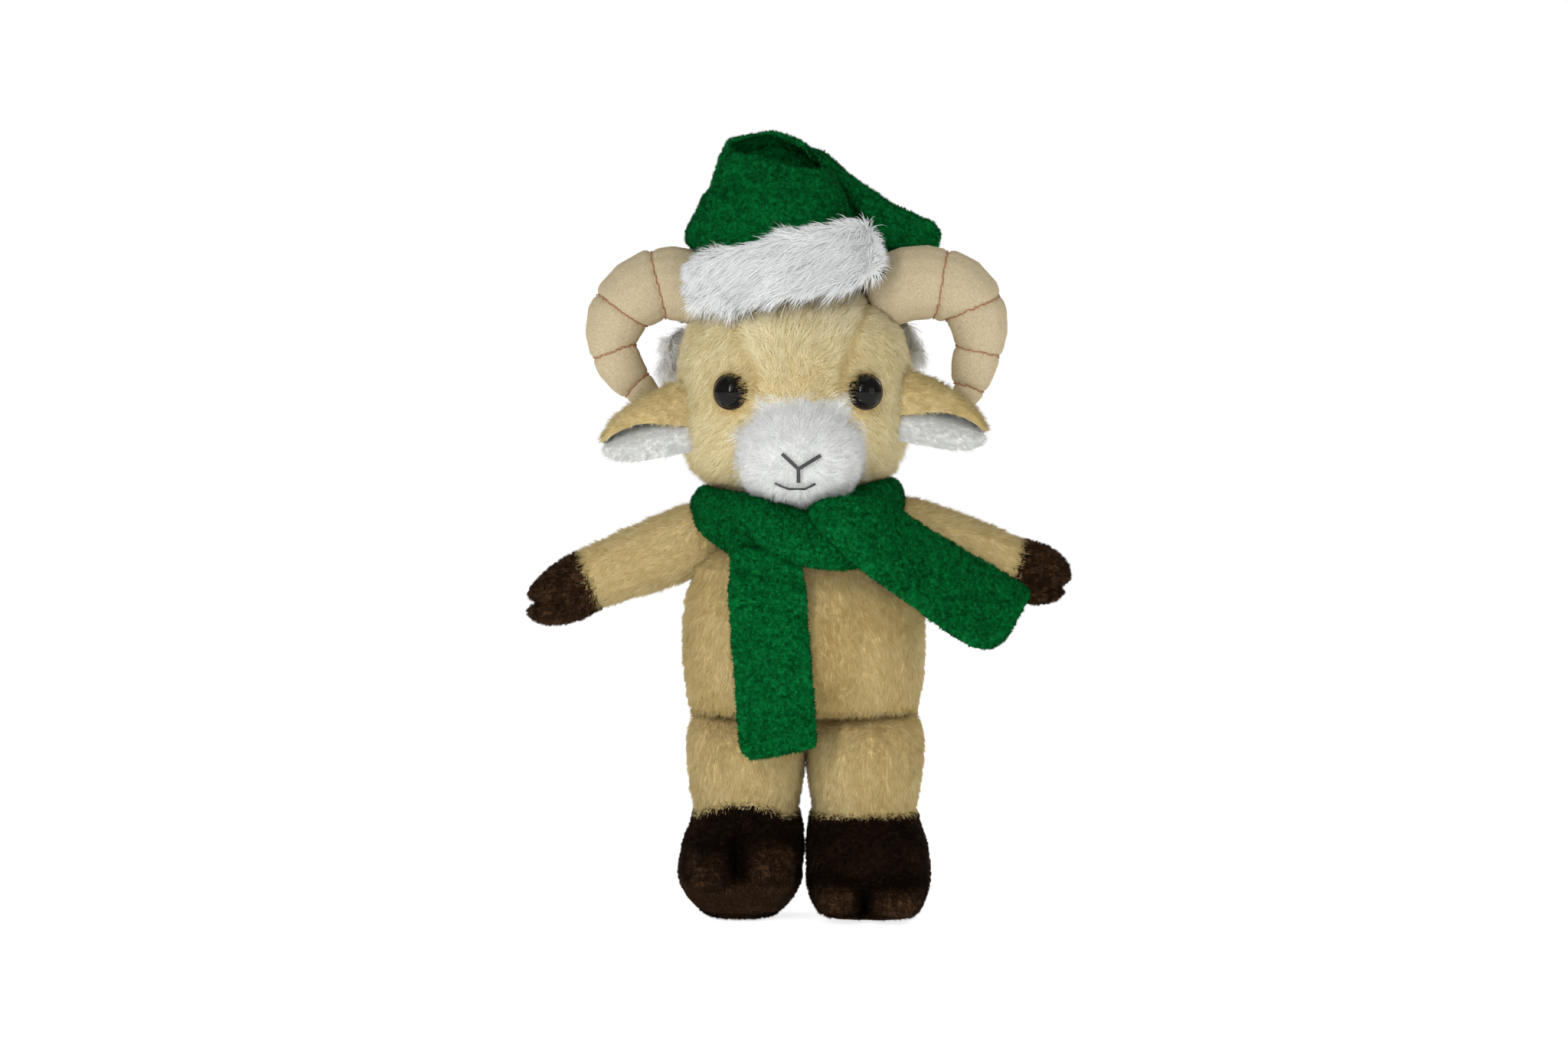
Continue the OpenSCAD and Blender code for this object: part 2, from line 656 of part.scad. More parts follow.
// the toy's right toes point up a little, so that foot rests on the back of its sole
function toe_lift(side) = side > 0 ? 0 : 7;
function foot_path(side) = let(x = foot_x(side), lx = leg_x(side))
    [
        [x, foot_y, -3, 0.8 * foot_a, 24],
        [x, foot_y, 2, 0.93 * foot_a, 26.5],
        [x, foot_y, 9, foot_a, 28.5],
        [x, foot_y + 0.5, 18, foot_a, 28],
        [lx, foot_y + 2.5, 27, 0.96 * foot_a, 24.5],
        [lx, 0, ankle_z - 0.2, 0.95 * leg_a, 0.9 * leg_r]
    ];
module foot_form(side, inset = 0) {
    soft(foot_path(side), rings = 9, inset = inset, sides = 18, square = 1.1);
    for (k = [-1, 1]) let(x = foot_x(side) + k * 10.5, z = 8.5 + toe_lift(side))
        soft([[x, foot_y - 18, z - 9, 3, 3], [x, foot_y - 20, z - 6, 7.5, 7.5],
            [x, foot_y - 21, z, 9, 9.6], [x, foot_y - 19, z + 7, 7, 8], [x, foot_y - 17, z + 11, 2.5, 3]],
            rings = 7, inset = inset, sides = 12, square = 1);
}
sole_t = 2;
module leg(side) { color(tan_pile) difference() { leg_form(side); leg_form(side, skin); } }
module foot_hoof(side) {
    color(brown_pile) difference() {
        foot_form(side);
        difference() {
            foot_form(side, skin);
            below(sole_t);
        }
        below(sole_t);
    }
}
module foot_sole(side) {
    color("#3a2519") difference() {
        foot_form(side);
        above(sole_t);
        below(0);
    }
}
module leg_stuffing(side) {
    color(polyester) {
        leg_form(side, skin + fill_gap);
        difference() {
            foot_form(side, skin + fill_gap);
            below(sole_t + fill_gap);
        }
    }
}
module leg_left() { leg(1); }
module leg_right() { leg(-1); }
module foot_hoof_left() { foot_hoof(1); }
module foot_hoof_right() { foot_hoof(-1); }
module foot_sole_left() { foot_sole(1); }
module foot_sole_right() { foot_sole(-1); }
module leg_stuffing_left() { leg_stuffing(1); }
module leg_stuffing_right() { leg_stuffing(-1); }

face_panel();
cheek_panel_left();
cheek_panel_right();
head_back_panel();
muzzle_panel();
head_stuffing();
eye_left();
eye_right();
eye_washer_left();
eye_washer_right();
nose_embroidery();
mouth_embroidery();
horn_left();
horn_right();
horn_stuffing_left();
horn_stuffing_right();
horn_stitching_left();
horn_stitching_right();
ear_outer_left();
ear_outer_right();
ear_lining_left();
ear_lining_right();
hat_crown();
hat_trim_front();
hat_trim_back();
torso_front();
torso_back();
torso_stuffing();
tail();
scarf_collar();
scarf_knot();
scarf_side_end();
scarf_front_end();
scarf_front_tip();
arm_left();
arm_right();
arm_hoof_left();
arm_hoof_right();
arm_stuffing_left();
arm_stuffing_right();
leg_left();
leg_right();
foot_hoof_left();
foot_hoof_right();
foot_sole_left();
foot_sole_right();
leg_stuffing_left();
leg_stuffing_right();
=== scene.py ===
"""Plush ram with stuffed horns, a folded fleece hat and a fleece scarf, around the CAD frame.

Every soft piece starts from the outer surface of its CAD solids, is smoothed and shaped in
numpy, and carries a pile of real fibres. Lengths are in millimetres until a mesh is made.
"""

import math

import bpy
import numpy as np
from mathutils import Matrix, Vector
from mathutils.bvhtree import BVHTree
from mathutils.kdtree import KDTree


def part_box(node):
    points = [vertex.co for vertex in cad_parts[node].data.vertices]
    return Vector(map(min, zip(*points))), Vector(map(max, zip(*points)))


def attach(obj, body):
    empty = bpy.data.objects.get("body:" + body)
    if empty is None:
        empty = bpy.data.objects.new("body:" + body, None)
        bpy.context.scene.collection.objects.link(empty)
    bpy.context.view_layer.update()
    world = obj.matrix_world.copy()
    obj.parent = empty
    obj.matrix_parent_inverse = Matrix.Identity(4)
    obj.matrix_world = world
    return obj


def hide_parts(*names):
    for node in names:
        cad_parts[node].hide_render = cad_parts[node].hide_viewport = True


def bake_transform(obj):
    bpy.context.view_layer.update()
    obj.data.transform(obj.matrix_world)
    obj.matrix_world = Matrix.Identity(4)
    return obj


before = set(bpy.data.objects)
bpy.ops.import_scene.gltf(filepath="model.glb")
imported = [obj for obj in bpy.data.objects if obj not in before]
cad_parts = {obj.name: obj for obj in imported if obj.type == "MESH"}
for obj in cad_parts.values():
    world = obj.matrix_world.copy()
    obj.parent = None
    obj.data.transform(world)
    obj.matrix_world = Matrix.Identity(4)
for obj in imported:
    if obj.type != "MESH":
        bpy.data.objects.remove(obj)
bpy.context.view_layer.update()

MM = 0.001
DENSITY = 1.0  # share of the fibres that are made
rng = np.random.default_rng(11)

# ------------------------------------------------------------------ camera

WIDTH_PX, PIXEL_MM = 2048, 0.2753  # the picture's width, and the size of one pixel at the toy
SENSOR_MM, LENS_MM = 36.0, 85.0
LOOKS_DOWN = math.radians(2.0)
camera_data = bpy.data.cameras.new("camera")
camera_data.sensor_width, camera_data.lens = SENSOR_MM, LENS_MM
camera_data.clip_end = 50
camera = bpy.data.objects.new("camera", camera_data)
bpy.context.scene.collection.objects.link(camera)
distance = WIDTH_PX * PIXEL_MM * MM * LENS_MM / SENSOR_MM
target = Vector((-0.0056, 0, 0.1400))
camera.location = target + Vector((0, -math.cos(LOOKS_DOWN), math.sin(LOOKS_DOWN))) * distance
camera.rotation_euler = (target - camera.location).to_track_quat("-Z", "Y").to_euler()
bpy.context.scene.camera = camera

# ------------------------------------------------------------------ noise and mesh helpers


def lattice(cell, seed):
    """A repeatable number from 0 to 1 for each row of whole numbers."""
    c = cell.astype(np.int64)
    h = (c[..., 0] * 73856093) ^ (c[..., 1] * 19349663) ^ (c[..., 2] * 83492791) ^ (seed * 2971215073)
    h &= 0xFFFFFFFF
    h = ((h ^ (h >> 15)) * 2246822519) & 0xFFFFFFFF
    h = ((h ^ (h >> 13)) * 3266489917) & 0xFFFFFFFF
    return ((h ^ (h >> 16)) & 0xFFFFFF) / float(0x1000000)


def noise(P, size, seed):
    """Smooth noise from 0 to 1 with features of that size."""
    q = P / size
    base = np.floor(q)
    f = q - base
    f = f * f * (3 - 2 * f)
    out = 0
    for corner in np.ndindex(2, 2, 2):
        wx, wy, wz = (f[:, k] if high else 1 - f[:, k] for k, high in enumerate(corner))
        out = out + wx * wy * wz * lattice(base + corner, seed)
    return out


def noise_vector(P, size, seed):
    return np.stack([noise(P, size, seed + k) for k in range(3)], 1) * 2 - 1


def unit(v):
    return v / np.maximum(np.linalg.norm(v, axis=-1, keepdims=True), 1e-9)


def up(v, start, width):
    """Goes from 0 to 1 as v rises from start by that width."""
    return np.clip((v - start) / width, 0, 1)


def down(v, start, width):
    """Goes from 0 to 1 as v falls from start by that width."""
    return np.clip((start - v) / width, 0, 1)


def bell(v, width):
    """1 where v is 0, and near 0 from twice the width on."""
    return np.exp(-((v / width) ** 2))


def main_axes(P):
    """The middle of some points, and the directions of their least, middle and greatest extent."""
    middle = (P.min(0) + P.max(0)) / 2
    return middle, np.linalg.eigh((P - middle).T @ (P - middle))[1].T


def corners(node):
    """The lowest and the highest corner of a CAD node, in millimetres."""
    return [np.array(c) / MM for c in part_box(node)]


def triangles(Q):
    return np.vstack([Q[:, [0, 1, 2]], Q[:, [0, 2, 3]]]) if Q.shape[1] == 4 else Q


def normals(V, Q):
    T = triangles(Q)
    n = np.cross(V[T[:, 1]] - V[T[:, 0]], V[T[:, 2]] - V[T[:, 0]])
    out = np.zeros_like(V)
    for axis in range(3):
        for corner in range(3):
            out[:, axis] += np.bincount(T[:, corner], n[:, axis], len(V))
    return unit(out)


def smooth(V, Q, times, strength=0.5, back=-0.52):
    """Evens out a surface without shrinking it."""
    sides = np.vstack([Q[:, [k, (k + 1) % Q.shape[1]]] for k in range(Q.shape[1])])
    a, b = sides[:, 0], sides[:, 1]
    count = np.maximum(np.bincount(a, minlength=len(V)) + np.bincount(b, minlength=len(V)), 1)
    for k in range(times * 2):
        total = np.stack([
            np.bincount(a, V[b, i], len(V)) + np.bincount(b, V[a, i], len(V)) for i in range(3)
        ], 1)
        V = V + (strength if k % 2 == 0 else back) * (total / count[:, None] - V)
    return V


def cad_mesh(names):
    """The points and triangles of some CAD solids, with points at one place joined."""
    verts, faces, start = [], [], 0
    for name in names:
        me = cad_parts[name].data
        co = np.empty(len(me.vertices) * 3, np.float32)
        me.vertices.foreach_get("co", co)
        me.calc_loop_triangles()
        t = np.empty(len(me.loop_triangles) * 3, np.int32)
        me.loop_triangles.foreach_get("vertices", t)
        verts.append(co.reshape(-1, 3).astype(float) / MM)
        faces.append(t.reshape(-1, 3) + start)
        start += len(me.vertices)
    V, T = np.vstack(verts), np.vstack(faces)
    _, first, same = np.unique(np.round(V, 3), axis=0, return_index=True, return_inverse=True)
    T = same.ravel()[T]
    return V[first], T[(T[:, 0] != T[:, 1]) & (T[:, 1] != T[:, 2]) & (T[:, 0] != T[:, 2])]


def raw_object(V, faces):
    me = bpy.data.meshes.new("raw")
    me.from_pydata((np.asarray(V) * MM).tolist(), [], [list(f) for f in faces])
    o = bpy.data.objects.new("raw", me)
    bpy.context.scene.collection.objects.link(o)
    return o


def islands(count, F):
    """A label for each point, the same for all points that the faces connect."""
    label = np.arange(count)
    while True:
        low = label[F].min(1)
        new = label.copy()
        for k in range(F.shape[1]):
            np.minimum.at(new, F[:, k], low)
        new = new[new]
        if (new == label).all():
            return label
        label = new


def cad_skin(names, voxel, cuts=()):
    """The outer surface of some CAD solids together, as one even quad mesh. Each cut is an XZ
    outline, anticlockwise as seen from the front, and two ends in Y, of a block taken away first."""
    o = raw_object(*cad_mesh(names))
    cutters = []
    for outline, y0, y1 in cuts:
        n = len(outline)
        block = [(x, y, z) for y in (y0, y1) for x, z in outline]
        walls = [[k, n + k, n + (k + 1) % n, (k + 1) % n] for k in range(n)]
        cutters.append(raw_object(block, [list(range(n)), list(range(n, 2 * n))[::-1]] + walls))
        m = o.modifiers.new("cut", "BOOLEAN")
        m.operation, m.object, m.solver = "DIFFERENCE", cutters[-1], "EXACT"
    m = o.modifiers.new("remesh", "REMESH")
    m.mode, m.voxel_size = "VOXEL", voxel * MM
    done = o.evaluated_get(bpy.context.evaluated_depsgraph_get())
    r = done.to_mesh()
    out = np.empty(len(r.vertices) * 3, np.float32)
    r.vertices.foreach_get("co", out)
    loops = np.empty(len(r.loops), np.int32)
    r.loops.foreach_get("vertex_index", loops)
    done.to_mesh_clear()
    for used in [o] + cutters:
        bpy.data.objects.remove(used)
    V, Q = out.reshape(-1, 3).astype(float) / MM, loops.reshape(-1, 4)
    label = islands(len(V), Q)
    kinds, count = np.unique(label, return_counts=True)
    return part_of(V, Q, label[Q[:, 0]] == kinds[count.argmax()])


def part_of(V, Q, faces):
    """Only those faces, with their own points."""
    Q = Q[faces]
    used, Q2 = np.unique(Q, return_inverse=True)
    return V[used], Q2.reshape(Q.shape)


def subdivide(V, Q):
    """One even split of every quad into four."""
    n = len(V)
    sides = np.sort(np.vstack([Q[:, [k, (k + 1) % 4]] for k in range(4)]), 1)
    pairs, which = np.unique(sides, axis=0, return_inverse=True)
    which = which.reshape(4, -1).T + n
    middle = n + len(pairs) + np.arange(len(Q))
    V = np.vstack([V, V[pairs].mean(1), V[Q].mean(1)])
    return V, np.vstack([
        np.stack([Q[:, k], which[:, k], middle, which[:, (k + 3) % 4]], 1) for k in range(4)
    ])


def grid_faces(rows, columns, ring=False, around=False):
    """The quads of a grid of points. ring joins the last row to the first, and around the last
    column to the first."""
    i, j = np.meshgrid(np.arange(rows - (not ring)), np.arange(columns - (not around)), indexing="ij")
    i2, j2 = (i + 1) % rows, (j + 1) % columns
    i, i2 = i * columns, i2 * columns
    return np.stack([i + j, i + j2, i2 + j2, i2 + j], -1).reshape(-1, 4)


def tree_of(V, Q):
    return BVHTree.FromPolygons(V.tolist(), triangles(Q).tolist())


def depth_in(tree, P):
    """How far each point is outside a closed surface, negative inside it."""
    out = np.empty(len(P))
    for k, p in enumerate(P.tolist()):
        at, n, _, far = tree.find_nearest(p)
        out[k] = far if (Vector(p) - at).dot(n) > 0 else -far
    return out


def new_object(name, V, faces, materials, index=None, own_normals=None):
    me = bpy.data.meshes.new(name)
    width = faces.shape[1]
    me.vertices.add(len(V))
    me.vertices.foreach_set("co", (V * MM).astype(np.float32).ravel())
    me.loops.add(faces.size)
    me.loops.foreach_set("vertex_index", faces.astype(np.int32).ravel())
    me.polygons.add(len(faces))
    me.polygons.foreach_set("loop_start", np.arange(0, faces.size, width, dtype=np.int32))
    for m in materials:
        me.materials.append(m)
    if index is not None:
        me.polygons.foreach_set("material_index", index.astype(np.int32))
    me.update(calc_edges=True)
    me.shade_smooth()
    if own_normals is not None:
        me.normals_split_custom_set_from_vertices(own_normals.astype(np.float32))
    o = bpy.data.objects.new(name, me)
    bpy.context.scene.collection.objects.link(o)
    return o


def piece(name, body, V, faces, materials, index=None, stands_for=(), own=None):
    """A finished piece. It rides on a body, or on none where body is None."""
    o = new_object(name, V, faces, materials, index, own)
    if body:
        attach(o, body)
    if stands_for:
        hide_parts(*stands_for)
    return o


# ------------------------------------------------------------------ materials


def plug(t, n, **inputs):
    """Sets a node's inputs, or links those whose value is the output of another node."""
    for key, value in inputs.items():
        socket = n.inputs[key.replace("_", " ")]
        if isinstance(value, bpy.types.NodeSocket):
            t.links.new(value, socket)
        else:
            socket.default_value = value
    return n


def add(t, kind, **inputs):
    return plug(t, t.nodes.new("ShaderNode" + kind), **inputs)


def principled(name, colour, rough, **sockets):
    m = bpy.data.materials.new(name)
    m.use_nodes = True
    t = m.node_tree
    plug(t, t.nodes["Principled BSDF"], Base_Color=(*colour, 1), Roughness=rough, **sockets)
    return m


def patterned(name, dark, light, rough, texture, bump, spread=(0.3, 0.7), **sockets):
    """A material whose colour and bump come from one network that texture() builds. bump is its
    strength and its depth in millimetres."""
    m = principled(name, light, rough, **sockets)
    t = m.node_tree
    value = texture(t, add(t, "TexCoord").outputs["Object"])
    ramp = add(t, "ValToRGB", Fac=value)
    ramp.color_ramp.elements[0].position, ramp.color_ramp.elements[1].position = spread
    ramp.color_ramp.elements[0].color = (*dark, 1)
    ramp.color_ramp.elements[1].color = (*light, 1)
    raised = add(t, "Bump", Strength=bump[0], Distance=bump[1] * MM, Height=value)
    plug(t, t.nodes["Principled BSDF"], Base_Color=ramp.outputs["Color"], Normal=raised.outputs["Normal"])
    return m


def noise_node(t, place, size, detail):
    """Noise with features of that size in millimetres."""
    return add(t, "TexNoise", Scale=1 / (size * MM), Detail=detail, Roughness=0.6, Vector=place).outputs["Fac"]


def mottle(size, detail):
    return lambda t, place: noise_node(t, place, size, detail)


def mixed(t, a, b, share):
    return add(t, "Mix", Factor=share, A=a, B=b).outputs["Result"]


CURL, CURL_BEND = 1.5, 1.3  # sizes of the fleece's curls and of their bends
RIB = 0.62  # from one rib of the twill to the next


def fleece_texture(t, place):
    """Little round curls of fibre, CURL mm wide."""
    wander = add(t, "TexNoise", Scale=1 / (CURL_BEND * MM), Vector=place)
    bend = add(t, "VectorMath")
    bend.operation = "MULTIPLY_ADD"
    t.links.new(wander.outputs["Color"], bend.inputs[0])
    bend.inputs[1].default_value = (0.0011, 0.0011, 0.0011)
    t.links.new(place, bend.inputs[2])
    curls = add(t, "TexVoronoi")
    curls.feature = "SMOOTH_F1"
    plug(t, curls, Scale=1 / (CURL * MM), Smoothness=0.35, Vector=bend.outputs["Vector"])
    flip = add(t, "Math")
    flip.operation = "SUBTRACT"
    flip.inputs[0].default_value = 1.0
    t.links.new(curls.outputs["Distance"], flip.inputs[1])
    return mixed(t, flip.outputs["Value"], noise_node(t, place, 0.5, 2.0), 0.45)


def twill_texture(t, place):
    """Fine slanting ribs, broken up by the yarn's unevenness."""
    # a wave node's bands are 1 / 0.34 apart
    ribs = add(t, "TexWave", Scale=0.34 / (RIB * MM), Distortion=1.2, Detail=1.5, Detail_Scale=1.6,
               Vector=place)
    ribs.wave_type, ribs.bands_direction = "BANDS", "DIAGONAL"
    return mixed(t, ribs.outputs["Fac"], noise_node(t, place, 0.8, 4.0), 0.9)


def shades(name, dark, light, count, rough, **sockets):
    """The colours of single fibres, from dark to light."""
    out = []
    for k in range(count):
        s = k / (count - 1)
        colour = [d ** (1 - s) * b**s for d, b in zip(dark, light)]
        out.append(principled(f"{name}_{k}", colour, rough, **sockets))
    return out


SOFT = {"Specular_IOR_Level": 0.15, "Sheen_Weight": 0.06, "Sheen_Roughness": 0.5}
DULL = {"Specular_IOR_Level": 0.03, "Sheen_Weight": 0.0, "Sheen_Roughness": 0.5}
FIBRES = {
    "tan": shades("tan_fibre", (0.35, 0.235, 0.07), (0.97, 0.88, 0.6), 9, 0.8, **SOFT),
    "white": shades("white_fibre", (0.62, 0.63, 0.6), (0.95, 0.96, 0.95), 6, 0.8, **SOFT),
    "trim": shades("trim_fibre", (0.6, 0.62, 0.62), (0.96, 0.97, 0.97), 6, 0.6, **SOFT),
    "green": shades("green_fibre", (0.0003, 0.036, 0.007), (0.003, 0.25, 0.052), 7, 0.9, **DULL),
    "brown": shades("brown_fibre", (0.004, 0.002, 0.0009), (0.11, 0.058, 0.029), 7, 0.85, **DULL),
}
CLOTH = {"Specular_IOR_Level": 0.2, "Sheen_Weight": 0.2, "Sheen_Roughness": 0.5}
tan_ground = patterned(
    "tan_plush_ground", (0.42, 0.29, 0.11), (0.72, 0.56, 0.27), 0.9, mottle(2.2, 4), (0.5, 0.6), **CLOTH
)
white_ground = patterned(
    "white_plush_ground", (0.55, 0.56, 0.53), (0.82, 0.83, 0.8), 0.9, mottle(2.0, 4), (0.5, 0.6), **CLOTH
)
brown_ground = patterned(
    "brown_plush_ground", (0.003, 0.0015, 0.0007), (0.02, 0.01, 0.005), 0.9, mottle(1.4, 4), (0.6, 0.5),
    **DULL,
)
sole_ground = patterned(
    "brown_sole_cloth", (0.008, 0.004, 0.0017), (0.03, 0.015, 0.007), 0.9, mottle(0.9, 4), (0.6, 0.3), **DULL
)
fleece = patterned(
    "green_fleece", (0.0003, 0.03, 0.006), (0.003, 0.17, 0.036), 0.95, fleece_texture, (0.9, 0.7),
    spread=(0.2, 0.72), **DULL,
)
twill = patterned(
    "horn_twill", (0.36, 0.29, 0.18), (0.51, 0.43, 0.285), 0.92, twill_texture, (0.4, 0.12),
    spread=(0.25, 0.75), **DULL,
)
orange_thread = patterned(
    "orange_thread", (0.22, 0.075, 0.022), (0.45, 0.19, 0.07), 0.6, mottle(0.35, 2), (0.5, 0.1)
)
face_thread = patterned(
    "face_thread", (0.004, 0.004, 0.005), (0.05, 0.05, 0.055), 0.55, mottle(0.3, 2), (0.6, 0.12)
)
washer = patterned("washer_plastic", (0.75, 0.75, 0.74), (0.85, 0.85, 0.84), 0.45, mottle(6, 2), (0.1, 0.05))
eye_black = patterned(
    "eye_plastic", (0.0015, 0.0012, 0.001), (0.006, 0.005, 0.0045), 0.06, mottle(3, 2), (0.02, 0.02),
    Specular_IOR_Level=0.14,
)
eye_rim = patterned(
    "eye_rim", (0.008, 0.004, 0.002), (0.035, 0.018, 0.009), 0.35, mottle(1.2, 2), (0.1, 0.05),
    Specular_IOR_Level=0.2,
)


def dress(node, material):
    """Gives a carried-over CAD node its material."""
    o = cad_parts[node]
    o.data.materials.clear()
    o.data.materials.append(material)


# ------------------------------------------------------------------ pile

MOST_FIBRES, MOST_TRIANGLES = 60000, 185000  # in one piece
TAN_DENSITY, WHITE_DENSITY, FUR_DENSITY, BROWN_DENSITY = 5.6, 7.0, 5.5, 9.0  # fibres on a mm2


def spikes(roots, heads, length, width, ground, tone, steps, droop):
    """Tapered three-sided fibres. droop is each fibre's fall, added along its length."""
    n = len(roots)
    side = unit(np.cross(heads, unit(ground + 0.3 * np.roll(ground, 1, axis=1) + 1e-3)))
    # short pile is lit as the surface below it, and long fur more as single hairs
    flat, own = (0.8, 0.45) if steps == 1 else (0.35, 0.8)
    other = np.cross(heads, side)
    spin = rng.uniform(0, 2 * np.pi, n)
    V, N = [], []
    for k in range(steps):
        s = k / steps
        centre = roots + heads * (length * s)[:, None] + droop * (length * s * s)[:, None]
        radius = 0.5 * width * (1 - 0.75 * s**1.4)
        for c in range(3):
            a = spin + 2 * np.pi * c / 3
            out = np.cos(a)[:, None] * side + np.sin(a)[:, None] * other
            V.append(centre + out * np.broadcast_to(radius, (n,))[:, None])
            N.append(unit(ground * flat + out * own))
    V.append(roots + heads * length[:, None] + droop * length[:, None])
    N.append(unit(ground * flat + heads * 0.4))
    faces = []
    for k in range(steps - 1):
        for c in range(3):
            a, b = 3 * k + c, 3 * k + (c + 1) % 3
            faces += [[a, b, b + 3], [a, b + 3, a + 3]]
    last = 3 * (steps - 1)
    faces += [[last + c, last + (c + 1) % 3, last + 3] for c in range(3)]
    F = (np.arange(n)[:, None, None] * (last + 4) + np.array(faces)[None]).reshape(-1, 3)
    return np.stack(V, 1).reshape(-1, 3), F, np.stack(N, 1).reshape(-1, 3), np.repeat(tone, len(faces))


def pile(name, body, slot, kind, V, Q, per_mm2, length, comb, tone, width=0.2, lift=0.6,
         clump=3.0, pull=0.35, stray=0.22, swirl=0.25, steps=1, droop=0.0, keep=None, grade=0.08):
    """Covers a surface in fibres. length, comb, tone, lift and keep may differ from point to point.

    comb is the way the pile is brushed, and only its part along the surface counts. lift is how
    steeply it stands. tone picks its shades, from 0, dark, to 1. clump is the size of the tufts
    that tips gather into, and pull says how strongly they do. steps is the number of lengths of
    a fibre, and droop makes it fall. keep is the share of the fibres that are made.
    """
    T = triangles(Q)
    N = normals(V, Q)
    keep = np.ones(len(V)) if keep is None else keep
    area = np.linalg.norm(np.cross(V[T[:, 1]] - V[T[:, 0]], V[T[:, 2]] - V[T[:, 0]]), axis=1) / 2
    weight = area * np.clip(keep[T].mean(1), 0, 1)
    count = int(weight.sum() * per_mm2 * DENSITY)
    if count < 10:  # a hidden sole
        return []
    which = rng.choice(len(T), count, p=weight / weight.sum())
    a, b = rng.random(count), rng.random(count)
    turn = a + b > 1
    a[turn], b[turn] = 1 - a[turn], 1 - b[turn]
    w = np.stack([1 - a - b, a, b], 1)[:, :, None]

    def at(values):
        """A value of the points, or one value for all of them, at the fibres' roots."""
        values = values if np.ndim(values) else np.full(len(V), float(values))
        picked = values[T[which]]
        return (picked * (w if picked.ndim == 3 else w[:, :, 0])).sum(1)

    P, n = at(V), unit(at(N))
    brushed = at(np.broadcast_to(comb, V.shape))
    brushed = brushed - (brushed * n).sum(1, keepdims=True) * n
    wander = noise_vector(P, 9.0, 31)
    wander = wander - (wander * n).sum(1, keepdims=True) * n
    # tufts: fibres in one cell lean towards its middle and share a small turn of their own
    cell = np.floor((P + 0.45 * clump * noise_vector(P, clump * 1.7, 47)) / clump).astype(np.int64)
    keys, tuft = np.unique(cell, axis=0, return_inverse=True)
    tuft = tuft.ravel()
    size = np.bincount(tuft)
    middle = np.stack([np.bincount(tuft, P[:, k]) / size for k in range(3)], 1)[tuft]
    own = (np.stack([lattice(keys, 61 + k) for k in range(3)], 1) * 2 - 1)[tuft]
    shade = (lattice(keys, 71) * 2 - 1)[tuft]
    heads = unit(
        at(lift)[:, None] * n + brushed + swirl * wander + 0.3 * own * stray / 0.22
        + stray * rng.normal(size=P.shape)
    )
    long = at(length) * rng.uniform(0.78, 1.12, count) * (1 + 0.12 * shade)
    gather = middle - P
    gather -= (gather * n).sum(1, keepdims=True) * n
    tip = heads * long[:, None] + pull * gather
    long = np.linalg.norm(tip, axis=1)
    heads = tip / long[:, None]
    level = at(tone) + grade * shade + 0.09 * rng.normal(size=count)
    # fibres in the gaps between tufts are given darker colours, as painted shade
    level -= 0.9 * grade * np.clip(np.linalg.norm(gather, axis=1) / (0.5 * clump) - 0.7, 0, 1)
    lightest = len(FIBRES[kind]) - 1
    index = np.clip(np.round(level * lightest), 0, lightest).astype(int)
    fall = np.zeros_like(P)
    fall[:, 2] = -1
    fall = (fall - 0.6 * n) * at(droop)[:, None] + 0.18 * at(droop)[:, None] * rng.normal(size=P.shape)
    wide = width * rng.uniform(0.75, 1.2, count)
    made = []
    most = min(MOST_FIBRES, MOST_TRIANGLES // (6 * steps - 3))
    order = np.argsort(P[:, 0], kind="stable") if count > most else np.arange(count)
    for k, chosen in enumerate(np.array_split(order, math.ceil(count / most))):
        of_each = (values[chosen] for values in (P, heads, long, wide, n, index))
        SV, SF, SN, SI = spikes(*of_each, steps, fall[chosen])
        made.append(piece(f"{name}_pile_{k + 1}", body, SV, SF, FIBRES[kind], SI, own=SN))
    return made


DOWN = np.array([0.0, 0.0, -1.0])

# ------------------------------------------------------------------ head

HEAD_PANELS = ["face_panel", "cheek_panel_left", "cheek_panel_right", "head_back_panel", "muzzle_panel"]
V, Q = cad_skin(HEAD_PANELS + ["head_stuffing"], 1.5)
V = smooth(V, Q, 5)


def nearest_of(P, nodes):
    """The number of the CAD node that each point is nearest to."""
    far = np.empty((len(nodes), len(P)))
    for k, node in enumerate(nodes):
        tree = tree_of(*cad_mesh([node]))
        far[k] = [tree.find_nearest(p)[3] for p in P.tolist()]
    return far.argmin(0), np.sort(far, axis=0)


panel, gaps = nearest_of(V, HEAD_PANELS)
seam = bell(gaps[1] - gaps[0], 1.6)  # 1 on a seam between two panels
MUZZLE, FACE = HEAD_PANELS.index("muzzle_panel"), HEAD_PANELS.index("face_panel")
# the white plush has a squarer top than the muzzle's filling, so its edge is drawn here, as
# half-widths at shares of the muzzle's height
muzzle_low, muzzle_high = corners("muzzle_panel")
muzzle_mid = (muzzle_low + muzzle_high) / 2
rise = (V[:, 2] - muzzle_low[2]) / (muzzle_high[2] - muzzle_low[2])
WHITE_EDGE = [(-0.1, 0.3), (0.0, 0.5), (0.12, 0.8), (0.3, 0.95), (0.45, 1.0), (0.7, 0.98), (0.77, 0.93),
              (0.81, 0.76), (0.9, 0.72), (1.0, 0.7), (1.03, 0.62), (1.05, 0.0)]
half = np.interp(rise, *zip(*WHITE_EDGE)) * (muzzle_high[0] - muzzle_low[0]) / 2
inside = half - np.abs(V[:, 0] - muzzle_mid[0] - 1.2 * rise) + 1.6 * (noise(V, 4, 17) - 0.5)
white_patch = (inside > 0) & (V[:, 1] < -20)
other = np.where(np.abs(V[:, 0] + 2) < 15, FACE, np.where(V[:, 0] > 0, 1, 2))
